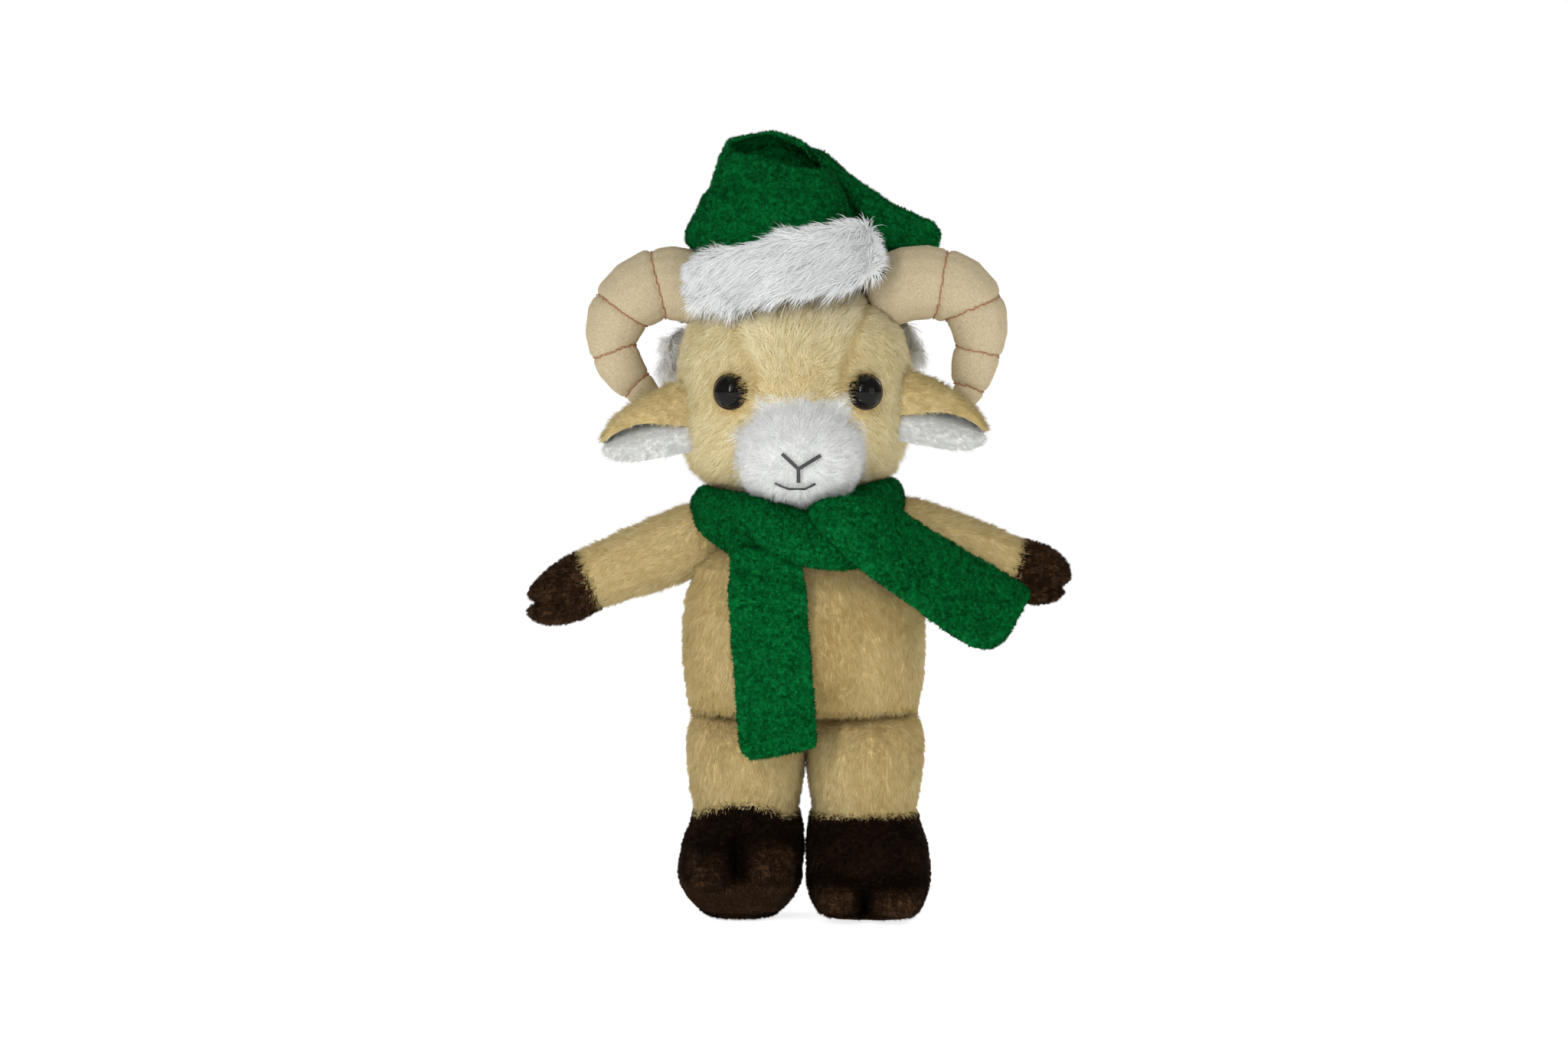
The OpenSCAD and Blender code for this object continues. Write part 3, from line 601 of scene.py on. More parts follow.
panel = np.where(white_patch, MUZZLE, np.where(panel == MUZZLE, other, panel))
N = normals(V, Q)
EYE_TIP = 4.7  # how far an eye stands out of the cloth
FAR_OFF = 99.0
near_eye = np.full(len(V), FAR_OFF)
EYE_AXIS = {}
for name, disc in (("eye_left", "eye_washer_left"), ("eye_right", "eye_washer_right")):
    # the washer is a flat disc, square to the way that the eye looks
    middle, axes = main_axes(cad_mesh([disc])[0])
    axis = axes[0] * (1 if axes[0, 1] < 0 else -1)
    reach = ((cad_mesh([name])[0] - middle) @ axis).max()
    centre = middle + axis * (reach - EYE_TIP)
    EYE_AXIS[name] = (centre, axis)
    rel = V - centre
    out = rel @ axis
    radial = np.linalg.norm(rel - out[:, None] * axis, axis=1)
    near_eye = np.minimum(near_eye, np.where(out > -9, radial, FAR_OFF))
below_pile = np.where(panel == MUZZLE, 1.7, 1.6)
seam = np.where(np.abs(inside) < 3, 0, seam)
V = V - N * (below_pile * np.clip((near_eye - 4) / 5, 0.1, 1) + 0.35 * seam)[:, None]
V = smooth(V, Q, 2)
N = normals(V, Q)

# the horns' roots and the hat press on the pile
horn_trees = [tree_of(*cad_skin([f"horn_{s}", f"horn_stuffing_{s}"], 1.6)) for s in ("left", "right")]
in_horn = np.minimum(*[depth_in(t, V) for t in horn_trees])
hat_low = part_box("hat_trim_front")[0][2] / MM
under_hat = up(V[:, 2] - hat_low, 6, 8)

side = np.sign(V[:, 0] + 2)
comb = np.tile(DOWN, (len(V), 1)) * 0.9
comb[:, 0] += 0.35 * side
face, on_muzzle = panel == FACE, panel == MUZZLE
# the forehead's longer pile is brushed up and outwards from between the eyes
upper = up(V[face, 2], 180, 12)
comb[face] = np.stack([
    (0.05 - 0.015 * upper) * (V[face, 0] + 2), np.zeros(face.sum()),
    0.35 + upper * (0.5 * noise(V[face], 12, 5) - 0.1),
], 1)
below_eye = ~face & ~on_muzzle & (V[:, 2] < 180)
comb[below_eye] = np.stack(
    [0.75 * side[below_eye], 0.2 * np.ones(below_eye.sum()), -0.75 * np.ones(below_eye.sum())], 1
)
away = V - np.array([muzzle_mid[0], 0, muzzle_mid[2] - 2])
comb[on_muzzle] = unit(away[on_muzzle] * [1.1, 0, 0.9]) * 0.75
length = np.where(face, 4.6, 3.9)
length = np.where(on_muzzle, 4.0 - 1.7 * bell(inside, 2.2), length)
length = length * (1 - 0.35 * seam) * (1 - 0.5 * under_hat)
length = length * (0.28 + 0.72 * up(near_eye, 5.8, 5.0))
lift = np.where(on_muzzle, 0.75, 0.55)
# beside the nose and above, the pile comes a little way over the eye's rim
for centre, axis in EYE_AXIS.values():
    rel = V - centre
    beside = (near_eye < 9.5) & (np.abs(rel[:, 0]) < 14) & (rel[:, 2] > -4.5)
    beside &= rel[:, 0] * np.sign(centre[0]) < 2.0
    comb[beside] = -unit(rel[beside]) * 1.3
    length = np.where(beside, 5.6, length)
    lift = np.where(beside, 1.9, lift)
keep = up(near_eye, 5.5, 0.8) * up(in_horn, -0.6, 0.8)
tone = np.where(face, 0.79, 0.76) + 0.12 * (noise(V, 11, 3) - 0.5)
tone += 0.10 * up(V[:, 2], 176, 40) * face
tone -= 0.18 * seam * ~on_muzzle
# painted shade: a ring of darker fibres round each eye, where the pile meets the rim
tone -= 0.5 * bell(near_eye - 6.3, 1.6)
tone -= 0.10 * down(V[:, 2], 165, 15) * ~on_muzzle

# the stitches of nose and mouth lie in a parting of the white pile, the mouth's in a narrower one
STITCHES = [(tree_of(*cad_mesh([node])), extra)
            for node, extra in (("nose_embroidery", 0.3), ("mouth_embroidery", 2.1))]
to_stitch = np.array([min(extra + tree.find_nearest(p)[3] for tree, extra in STITCHES) for p in V.tolist()])
length = np.where(on_muzzle, length * (0.3 + 0.7 * up(to_stitch, 1.3, 2.6)), length)
# the white pile is painted lighter towards the chin, as painted light from below
white_tone = 0.78 + 0.22 * down(V[:, 2], 160, 10) + 0.15 * (noise(V, 9, 8) - 0.5)
tone = np.where(on_muzzle, white_tone, tone)

WHITE = dict(kind="white", per_mm2=WHITE_DENSITY, pull=0.4, stray=0.3, grade=0.14)
TAN = dict(kind="tan", per_mm2=TAN_DENSITY, pull=0.28, stray=0.2, grade=0.07)
PILE_SLOT = {"muzzle_panel": "white_plush", "face_panel": "pale_plush"}
for k, node in enumerate(HEAD_PANELS):
    mine = (panel[Q] == k).sum(1) >= 2
    if k:
        mine &= ~((panel[Q] == 0).sum(1) >= 2)
    PV, PQ = part_of(V, Q, mine)
    white = node == "muzzle_panel"
    stands = [node] + (["head_stuffing"] if node == "head_back_panel" else [])
    piece(f"{node}_cloth", "head", PV, PQ,
          [white_ground if white else tan_ground], stands_for=stands)
    weight = np.bincount(Q[mine].ravel(), minlength=len(V)) > 0
    pile(node, "head", PILE_SLOT.get(node, "tan_plush"), V=V, Q=Q, length=length, comb=comb, tone=tone,
         lift=lift, clump=2.6, keep=keep * weight, **(WHITE if white else TAN))

# ------------------------------------------------------------------ eyes


def turned(profile, count, centre, axis):
    """A surface of revolution through (radius, height) pairs."""
    side = unit(np.cross(axis, [0, 0, 1.0]))
    over = np.cross(side, axis)
    rings = []
    for r, h in profile:
        a = np.arange(count) * 2 * np.pi / count
        rings.append(centre + axis * h + r * (np.cos(a)[:, None] * side + np.sin(a)[:, None] * over))
    return np.vstack(rings), grid_faces(len(profile), count, around=True)


for name, (centre, axis) in EYE_AXIS.items():
    # a full dome on a thin brown flange, closed in front by a very small ring
    dome = [(5.75 * math.cos(t), 0.35 + 4.3 * math.sin(t)) for t in np.linspace(0, 1.555, 22)]
    EV, EQ = turned([(0.02, -2.4), (3.0, -2.4), (5.6, -1.2)] + dome, 72, centre, axis)
    piece(f"{name}_dome", "head", EV, EQ, [eye_black], stands_for=[name])
    rim = [(5.5, -1.6), (6.25, -1.2), (6.5, -0.3), (6.42, 0.35), (6.1, 0.62), (5.72, 0.5), (5.5, 0.1)]
    RV, RQ = turned(rim, 72, centre, axis)
    piece(f"{name}_rim", "head", RV, RQ, [eye_rim])
for name in ("eye_washer_left", "eye_washer_right"):
    dress(name, washer)

# ------------------------------------------------------------------ horns


RING_POINTS = 160  # points in a ring of thread
THREAD_RADIUS, STITCH = 0.22, 2.4  # STITCH is the length of one stitch


def tube(points, radius, sides=6):
    """A closed ring of thread through the points."""
    ahead = unit(np.roll(points, -1, 0) - np.roll(points, 1, 0))
    a = unit(np.cross(ahead, unit(points - points.mean(0))))
    b = np.cross(ahead, a)
    turn = np.arange(sides) * 2 * np.pi / sides
    V = points[:, None] + radius * (
        np.cos(turn)[None, :, None] * a[:, None] + np.sin(turn)[None, :, None] * b[:, None]
    )
    return V.reshape(-1, 3), grid_faces(len(points), sides, ring=True, around=True)[:, [0, 3, 2, 1]]


for side_name in ("left", "right"):
    V, Q = cad_skin([f"horn_{side_name}", f"horn_stuffing_{side_name}"], 1.0)
    V = smooth(V, Q, 14)
    N = normals(V, Q)
    V = V + N * 0.25
    SV, ST = cad_mesh([f"horn_stitching_{side_name}"])
    label = islands(len(SV), ST)
    tree = tree_of(V, Q)
    rings = []
    for one in np.unique(label):
        centre, (across, tall, flat) = main_axes(SV[label == one])
        found = []
        for a in np.arange(RING_POINTS) * 2 * np.pi / RING_POINTS:
            # the row of stitches wanders a little, as sewn by hand
            way = math.cos(a) * flat + math.sin(a) * tall + 0.035 * math.sin(2 * a + one) * across
            hit = tree.ray_cast(centre.tolist(), way.tolist())[0]
            if hit is not None:
                found.append(hit[:])
        rings.append(np.array(found))
    every = np.vstack(rings)
    far = np.full(len(V), 1e9)
    for start in range(0, len(every), 80):
        d = np.linalg.norm(V[:, None] - every[None, start : start + 80], axis=2).min(1)
        far = np.minimum(far, d)
    # the thread pulls the filling in, and the cloth swells and puckers between the rows
    pucker = noise(V, 2.2, 19) - 0.5
    V = V + N * (
        0.35 - 0.95 * bell(far, 0.9) - 0.35 * bell(far, 3.5)
        + 0.5 * pucker * bell(far, 2.5) + 0.35 * (noise(V, 8, 23) - 0.5)
    )[:, None]
    V = smooth(V, Q, 1)
    piece(f"horn_{side_name}_cloth", "head", V, Q, [twill],
          stands_for=[f"horn_{side_name}", f"horn_stuffing_{side_name}"])
    tree = tree_of(V, Q)
    TV, TF, start = [], [], 0
    for ring in rings:
        out = []
        step = np.linalg.norm(ring - np.roll(ring, 1, 0), axis=1).cumsum()
        for p, s in zip(ring, step):
            at, n, _, _ = tree.find_nearest(p.tolist())
            # each stitch is a little arch, and its ends go into the cloth
            out.append(np.array(at + n * (0.16 + 0.17 * math.cos(2 * math.pi * s / STITCH))))
        RV, RF = tube(np.array(out), THREAD_RADIUS)
        TV.append(RV)
        TF.append(RF + start)
        start += len(RV)
    piece(f"horn_stitching_{side_name}_thread", "head", np.vstack(TV), np.vstack(TF),
          [orange_thread], stands_for=[f"horn_stitching_{side_name}"])

# ------------------------------------------------------------------ ears


def curve(points, shares):
    """Points along a smooth curve through the control points."""
    P = np.asarray(points, float)
    f = np.clip(shares, 0, 1) * (len(P) - 1)
    i = np.minimum(f.astype(int), len(P) - 2)
    t = (f - i)[:, None]
    p, q, r, w = P[np.maximum(i - 1, 0)], P[i], P[i + 1], P[np.minimum(i + 2, len(P) - 1)]
    return 0.5 * (2 * q + (r - p) * t + (2 * p - 5 * q + 4 * r - w) * t**2 + (3 * q - p - 3 * r + w) * t**3)


def layer(G, low, high):
    """A closed thin layer on a grid of points, from low to high along the grid's normals. Also
    gives the number of faces on its high side, which come first."""
    rows, columns = G.shape[:2]
    V, F = G.reshape(-1, 3), grid_faces(rows, columns)
    N = normals(V, F)
    n = len(V)
    edge = np.concatenate([
        np.arange(columns), np.arange(1, rows) * columns + columns - 1,
        (rows - 1) * columns + np.arange(columns - 2, -1, -1), np.arange(rows - 2, 0, -1) * columns,
    ])
    rim = np.stack([edge, edge + n, np.roll(edge, -1) + n, np.roll(edge, -1)], 1)
    V = np.vstack([V + N * high, V + N * low])
    return V, np.vstack([F, F[:, ::-1] + n, rim]), len(F)


# an ear is a leaf whose upper edge is folded down over its front. Heights of its top, of the
# folded edge and of its lower edge, from the root's middle, at shares of its length
EAR_AT = [-0.3, 0.0, 0.15, 0.3, 0.45, 0.6, 0.75, 0.85, 0.93, 1.0]
EAR_TOP = [16.5, 17.6, 16.4, 14.6, 12.5, 10.2, 7.2, 4.6, 1.6, -2.2]
EAR_FLAP = [3.0, 3.0, 3.5, 3.8, 3.8, 3.3, 1.8, 0.3, -1.2, -2.9]
EAR_LOW = [-5.0, -6.6, -7.5, -8.1, -8.9, -9.4, -9.5, -9.2, -8.2, -5.6]
AROUND = 44  # points across an ear
# the two cloths: their share of the points across, and from where to where they go in thickness.
# The white cloth comes round the lower edge, and the tan one stops short of it
EAR_CLOTHS = [
    ("outer", slice(4, None), 0.05, 1.0, "tan", tan_ground, 2.7, 0.5),
    ("lining", slice(None, -2), -0.9, -0.05, "white", white_ground, 1.9, 0.0),
]

for side_name, s in (("left", 1), ("right", -1)):
    EV = np.vstack([cad_mesh([f"ear_{k}_{side_name}"])[0] for k in ("outer", "lining")])
    inner, outer = (EV[:, 0] * s).min() - 3, (EV[:, 0] * s).max() + 0.4
    root_z = EV[EV[:, 0] * s < inner + 5][:, 2].mean() + (3.0 if s > 0 else 0.0)
    mid_y = EV[:, 1].mean()
    rows = []
    for u in np.linspace(-0.3, 1.0, 36):
        x = s * (inner + u * (outer - inner))
        top, flap, low = (np.interp(u, EAR_AT, heights) for heights in (EAR_TOP, EAR_FLAP, EAR_LOW))
        tall, cover = top - low, top - flap
        deep = 0.35 + 0.65 * min(tall / 24, 1)
        shape = [
            (-5.0 * deep, low), (-6.4 * deep, low + 0.2 * tall), (-4.2 * deep, low + 0.4 * tall),
            (1.5 * deep, low + 0.6 * tall), (2.4 * deep, low + 0.85 * tall), (-1.2 * deep, top),
            (-5.4 * deep, top - 0.2 * cover), (-7.0 * deep, flap + 0.5 * cover), (-7.2 * deep, flap),
        ]
        section = curve(shape, np.linspace(0, 1, AROUND))
        rows.append(np.stack([np.full(AROUND, x), mid_y + section[:, 0], root_z + section[:, 1]], 1))
    G = np.array(rows)
    # the outer cloth is on the back and the top, so the grid's normal has to point there
    if s > 0:
        G = G[::-1]
    back = normals(G.reshape(-1, 3), grid_faces(*G.shape[:2])).reshape(G.shape)[17, 16]
    flip = 1 if back[1] > 0 else -1
    body = f"{side_name}_ear"
    for cloth, across, low, high, kind, ground, long, tone in EAR_CLOTHS:
        LV, LF, front = layer(G[:, across], flip * low, flip * high)
        if flip < 0:
            LF = LF[:, ::-1]
        name, slot = f"ear_{cloth}_{side_name}", f"{kind}_plush"
        piece(f"{name}_cloth", body, LV, LF, [ground], stands_for=[name])
        # the pile is on the side away from the other layer
        lining = cloth == "lining"
        first = front if lining else 0
        FV, FQ = part_of(LV, LF, slice(first, first + front))
        pile(name, body, slot, kind, FV, FQ, 6.5, long, [0.8 * s, 0, -0.35],
             tone + 0.2 * (noise(FV, 6, 9) - 0.5), lift=0.5, clump=2.2, pull=0.3, stray=0.25, grade=0.1,
             keep=(normals(FV, FQ)[:, 1] < 0.1).astype(float) if lining else None)

# ------------------------------------------------------------------ fleece


def fleece_piece(name, body, nodes, V, Q, shade=0.0):
    """Green fleece cloth: curls of fibre in the cloth's own surface, with loose fibres on it. shade darkens
    its fibres, as painted shade.
    """
    N = normals(V, Q)
    V = V + N * (0.5 * (noise(V, 1.5, 77) - 0.5) + 0.5 * (noise(V, 4.5, 78) - 0.5))[:, None]
    o = piece(f"{name}_cloth", body, V, Q, [fleece], stands_for=nodes)
    brush = noise_vector(V, 3.0, 90)
    tone = 0.42 + 0.5 * (noise(V, 2.0, 91) - 0.5) + 0.2 * (noise(V, 14, 92) - 0.5) - shade
    made = pile(name, body, "green_fleece", "green", V, Q, 7.0, 1.15, 0.5 * brush, tone,
                width=0.26, lift=0.9, clump=1.4, pull=0.4, stray=0.6, swirl=0.3, grade=0.3)
    return o, made


# the hat's top is folded over, and the fold stands open in front: its front edge is cut lower
# than the back, and a pocket goes in between them
FRONT_EDGE = [(-19.5, 276.5), (-18, 274), (-15, 271.5), (-8.5, 268.8), (-2, 267.2), (4.3, 266),
              (9.5, 265.8)]
above = (FRONT_EDGE + [(13, 268), (12.5, 292), (-19.5, 292)], -40, 2.5)
pocket = (FRONT_EDGE[2:] + [(8, 269), (4.3, 271), (-3, 275), (-8.5, 276.5), (-14.5, 275)], -40, 9.4)
inside = ([(-13, 267), (-8, 262), (5, 260), (8, 266.5), (-2, 268), (-8.5, 270), (-13, 272)], -6, 9.4)
hems = [([(a, 200), (b, 200), (b, 213), (a, 213)], 6, 60) for a, b in ((-60, -33), (28, 60))]
V, Q = cad_skin(["hat_crown"], 0.9, cuts=[above, pocket, inside] + hems)
V = smooth(V, Q, 4)
# the openings over the horns are round arches, where the CAD solid's are square
ARCH, ARCH_Z = 13.0, 227.5
over = V[:, 2] - ARCH_Z
square = np.maximum(np.abs(V[:, 1]), over) / ARCH
shrink = 1 - square / np.maximum(np.hypot(V[:, 1], over) / ARCH, 1e-6)
shrink *= np.exp(-np.clip(square - 1, 0, None) * ARCH / 3) * up(np.abs(V[:, 0]), 13, 4) * (over > 0)
V[:, 1] -= V[:, 1] * shrink
V[:, 2] -= over * shrink
# the cone leans out more to one side, and the tail behind it hangs lower, than the CAD solid
lean = np.interp(V[:, 2], [238, 251, 261, 270, 277], [0.3, 1.8, 4.7, 5.8, 6.6])
V[:, 0] -= lean * down(V[:, 0], -8, 9)
TAIL_TOP = [(8, 273.5, 273.0), (17.8, 271.0, 265.7), (26, 266.5, 260.0), (34, 261.4, 254.9),
            (41, 255.5, 251.2), (46, 251.0, 248.8), (51, 245.0, 245.0)]  # x, its top as made, its top as worn
at_x, made_top, worn_top = zip(*TAIL_TOP)
drop = np.interp(V[:, 0], at_x, made_top) - np.interp(V[:, 0], at_x, worn_top)
behind = up(V[:, 1], 5, 6) * up(V[:, 0], 5, 5)
V[:, 2] -= drop * behind * np.clip((V[:, 2] - 240) / (np.interp(V[:, 0], at_x, made_top) - 240), 0, 1)
POCKET_LOW, POCKET_HIGH = (-20, -7, 259), (9, 10.5, 276)
in_pocket = ((V > POCKET_LOW) & (V < POCKET_HIGH)).all(1)
V = smooth(V, Q, 1)
N = normals(V, Q)
# shallow dents, and the lower edge tucked in behind the fur
V = V + N * (1.6 * (noise(V, 19, 51) - 0.5) + 0.9 * (noise(V, 9, 52) - 0.5))[:, None]
V = V - N * (3.2 * down(V[:, 2], 233, 5) * down(V[:, 1], 8, 6))[:, None]
# the cone's edge lies over the tail, which is pressed in and shaded next to it
OVERLAP = [(5, 271), (8, 266.3), (13, 260.5), (17.7, 254.6), (21, 248), (22.5, 240)]
edge = np.concatenate([
    np.linspace(a, b, 20) for a, b in zip(np.array(OVERLAP), np.array(OVERLAP[1:]))
])
step = V[:, None, [0, 2]] - edge[None]
to_edge = step[np.arange(len(V)), np.linalg.norm(step, axis=2).argmin(1)]
from_edge = np.linalg.norm(to_edge, axis=1)
right_of = np.sign(to_edge @ np.array([0.83, 0.56]))
front = np.clip(-N[:, 1] * 2, 0, 1)
signed = from_edge * right_of
press = front * np.where(signed > 0, -3.2 * bell(signed, 4.0), 1.2 * bell(signed, 4.0))
V = V + N * press[:, None]
# painted shade: darker fibres inside the pocket, and on the tail next to the cone's edge
shade = in_pocket + 0.65 * front * (signed > -0.3) * bell(signed, 2.6)
hat, _ = fleece_piece("hat_crown", "hat", ["hat_crown"], V, Q, shade=shade)


def fur_band(name, sweep, tone, long):
    """A band of long white fur, brushed along sweep."""
    V, Q = cad_skin([name], 1.6)
    V = smooth(V, Q, 4)
    N = normals(V, Q)
    V = V - N * 1.2
    piece(f"{name}_cloth", "hat", V, Q, [white_ground], stands_for=[name])
    comb = np.tile(sweep, (len(V), 1)) + 0.35 * noise_vector(V, 11, 21)
    length = long * (0.75 + 0.5 * noise(V, 7, 22))
    ends = np.minimum(V[:, 0] - V[:, 0].min(), V[:, 0].max() - V[:, 0])
    length = length * (0.65 + 0.35 * up(ends, 0, 14))
    tone = tone + 0.25 * (noise(V, 6, 23) - 0.5)
    pile(name, "hat", "white_fur", "trim", V, Q, FUR_DENSITY, length, comb, tone, width=0.24, lift=0.42,
         clump=4.2, pull=0.75, stray=0.2, swirl=0.5, steps=3, droop=0.22)


fur_band("hat_trim_front", [-0.85, 0.0, -0.30], 0.72, 8.6)
# the back band's fibres are painted lighter than the front band's, as painted light where it lies in shade
fur_band("hat_trim_back", [-0.2, 0.0, -0.85], 1.0, 8.0)

# ------------------------------------------------------------------ scarf

EDGE = 20  # points round a strip's cross-section


def strip(path, half, facing, thick=3.4, crown=0.0, steps=60, closed=False):
    """A strip of thick cloth along a path, with soft rounded edges and ends. At each point of
    the path, facing is the way that its outer side looks, and half is its half-width, or its
    widths to the left and to the right as seen from outside with the path going up."""
    shares = np.linspace(0, 1, steps + 1)[: steps if closed else None]
    centre, face = curve(path, shares), unit(curve(facing, shares))
    half = np.asarray(half, float)
    wide = curve(half if half.ndim == 2 else np.stack([half, half], 1), shares)
    if closed:
        ahead = np.roll(centre, -1, 0) - np.roll(centre, 1, 0)
    else:
        ahead = np.gradient(centre, axis=0)
        long = np.linalg.norm(np.diff(centre, axis=0), axis=1)
        walked = np.concatenate([[0], long.cumsum()])
        left = np.minimum(walked, walked[-1] - walked)
        round_end = np.sqrt(np.clip(1 - (1 - up(left, 0, 3.0)) ** 2, 0.02, 1))
    ahead = unit(ahead)
    across = unit(np.cross(ahead, face))
    face = np.cross(across, ahead)
    a = np.arange(EDGE) * 2 * np.pi / EDGE
    u = np.sign(np.cos(a)) * np.abs(np.cos(a)) ** 0.55
    v = np.sign(np.sin(a)) * np.abs(np.sin(a)) ** 0.8
    soften = np.ones(len(centre)) if closed else round_end
    w = np.where(u > 0, wide[:, 1:], wide[:, :1]) * u[None] * (1 if closed else 0.86 + 0.14 * soften[:, None])
    h = 0.5 * thick * v[None] * soften[:, None] + crown * (1 - u[None] ** 2)
    V = centre[:, None] + w[:, :, None] * across[:, None] + h[:, :, None] * face[:, None]
    n = len(centre)
    F = grid_faces(n, EDGE, ring=closed, around=True)[:, [0, 3, 2, 1]]
    V = V.reshape(-1, 3)
    if not closed:
        # the ends are closed across the strip, from its two edges inwards
        k = np.arange(EDGE // 2 - 1)
        cap = np.stack([k, k + 1, EDGE - 2 - k, EDGE - 1 - k], 1)
        cap = (cap + 1) % EDGE
        F = np.vstack([F, cap, cap[:, ::-1] + (n - 1) * EDGE])
    outwards = V[F].mean(1) - np.repeat(centre, EDGE, 0)[F[:, 0]]
    looks = np.cross(V[F[:, 1]] - V[F[:, 0]], V[F[:, 2]] - V[F[:, 1]])
    if ((looks * outwards).sum(1)[: (n - 1) * EDGE]).sum() < 0:
        F = F[:, ::-1]
    return V, F


def fine(V, F):
    V, F = subdivide(V, F)
    return smooth(V, F, 1), F


collar_low, collar_high = corners("scarf_collar")
neck = (collar_low + collar_high) / 2
turn = np.arange(25) * 2 * np.pi / 24
ring_r = (collar_high[0] - collar_low[0]) / 2 - 4.6
ring = np.stack([
    neck[0] + ring_r * np.sin(turn), neck[1] - (ring_r + 1.0) * np.cos(turn),
    collar_low[2] + 13.5 + 8.5 * np.sin(turn) ** 2 + 1.5 * np.sin(turn),
], 1)
out = np.stack([np.sin(turn), -np.cos(turn), 0.12 + 0.25 * np.cos(turn) ** 2], 1)
V, Q = strip(ring, 13.0 - 5.5 * np.sin(turn) ** 2, out, thick=4.2, crown=2.6, steps=110, closed=True)
V, Q = fine(V, Q)
collar, _ = fleece_piece("scarf_collar", "torso", ["scarf_collar"], V, Q)

# the wrap that holds both ends: it comes out under the cheek and goes down across the front
V, Q = strip(
    [(-23, -34.5, 146.5), (-17, -39.5, 144.0), (-9, -42.8, 140.2), (1, -44.5, 136.0), (12, -43.5, 132.6),
     (21, -38.5, 130.5)],
    [3.6, 6.4, 8.2, 9.0, 7.6, 5.0],
    [(-0.5, -1, 0.1), (-0.35, -1, 0.15), (-0.15, -1, 0.2), (0.1, -1, 0.1), (0.3, -1, -0.05), (0.6, -1, -0.1)],
    thick=4.2, crown=3.4, steps=60)
V, Q = fine(V, Q)
# the side end lies over it, from one place to the other, and the knot's fibres along that edge get painted
# shade
over_from, over_to = np.array([-2.0, 143.0]), np.array([16.6, 127.7])
rel = V[:, [0, 2]] - over_from
along = unit(over_to - over_from)
gap = np.abs(rel[:, 0] * along[1] - rel[:, 1] * along[0])
knot, _ = fleece_piece("scarf_knot", "torso", ["scarf_knot"], V, Q, shade=0.4 * bell(gap, 2.6))

V, Q = strip(
    [(3, -43.5, 144.0), (12, -46.8, 143.0), (23, -45.4, 138.6), (39, -36.5, 127.8), (55.3, -27.8, 116.8),
     (64.6, -24.5, 110.8), (69.6, -23.0, 107.6), (73.0, -22.0, 105.4), (75.5, -21.5, 103.8)],
    [(3.5, 3.5), (8.0, 8.0), (12.7, 12.7), (14.2, 14.2), (15.7, 15.7), (15.7, 15.5), (15.7, 13.8),
     (15.7, 10.6), (15.5, 5.0)],
    [(0.0, -1, 0.35), (0.0, -1, 0.3), (0.25, -1, 0.25), (0.5, -1, 0.3), (0.5, -1, 0.35), (0.45, -1, 0.33),
     (0.4, -1, 0.3), (0.38, -1, 0.28), (0.35, -1, 0.25)],
    thick=3.4, crown=1.2, steps=96)
V, Q = fine(V, Q)
side_end, _ = fleece_piece("scarf_side_end", "torso", ["scarf_side_end"], V, Q)

tip_low, tip_high = corners("scarf_front_tip")
mid = (tip_low + tip_high) / 2
half_w = (tip_high[0] - tip_low[0]) / 2
hang = [133, 124, 116, 106, 95, 84, 72, 63, tip_low[2] + 0.4]
V, Q = strip(
    [(mid[0] + 0.4 + 5.0 * (125 - z) / 70, mid[1] - 0.6 - np.interp(z, [106, 118, 133], [0, 2.2, 1.0]), z)
     for z in hang],
    np.array([0.82, 0.88] + [0.94] * 6 + [0.92]) * half_w,
    [(0.02, -1, 0.0)] * len(hang), thick=3.5, crown=0.5, steps=90)
# small folds where the end leaves the wrap, and slight waves below
waves = 1.2 * np.sin((V[:, 2] - 121 + 0.3 * (V[:, 0] - mid[0])) / 1.9) * bell(V[:, 2] - 121, 5)
waves += 0.7 * (noise(V * [0.4, 1, 1], 13, 61) - 0.5)
V[:, 1] += waves
# one lower corner is rounder than the other
corner = down(V[:, 2], 62, 7) ** 2
V[:, 0] += 4.2 * corner * down(V[:, 0], mid[0], half_w)
V[:, 2] += 1.8 * corner * down(V[:, 0], mid[0], half_w)
V[:, 2] += (1.6 + 0.12 * (V[:, 0] - mid[0] + half_w)) * down(V[:, 2], 74, 16)
V, Q = fine(V, Q)
front_end, loose = fleece_piece("scarf_front_end", None, ["scarf_front_end", "scarf_front_tip"], V, Q)
for o in [front_end] + loose:
    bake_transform(o)

# ------------------------------------------------------------------ torso and tail

TAN_PILE = dict(kind="tan", per_mm2=TAN_DENSITY, lift=0.5, clump=2.8, pull=0.3, stray=0.17, swirl=0.35,
                grade=0.07)


def plush(name, body, nodes, hidden, voxel=1.6, inset=1.5, comb=None, tone=None, length=3.1, shape=None,
          **more):
    """A stuffed piece of tan plush. shape, comb and tone take its points."""
    V, Q = cad_skin(nodes + hidden, voxel)
    V = smooth(V, Q, 6)
    V = V if shape is None else smooth(shape(V), Q, 2)
    N = normals(V, Q)
    V = V - N * inset
    piece(f"{name}_cloth", body, V, Q, [tan_ground], stands_for=nodes + hidden)
    tone = (tone(V) if tone else 0.55) + 0.1 * (noise(V, 13, 3) - 0.5)
    pile(name, body, "tan_plush", V=V, Q=Q, length=length, comb=comb(V) if comb else DOWN, tone=tone,
         **{**TAN_PILE, **more})


torso_low, torso_high = corners("torso_front")
# how much wider than the CAD solid the cloth is at each height, where it covers the arms' roots
UNDER_ARMS = [(104, 1.0), (108, 1.02), (110, 1.05), (114, 1.15), (118, 1.3), (121, 1.45), (124.5, 1.7),
              (128, 1.66), (131, 1.5), (134, 1.3), (138, 1.1), (142, 1.0)]


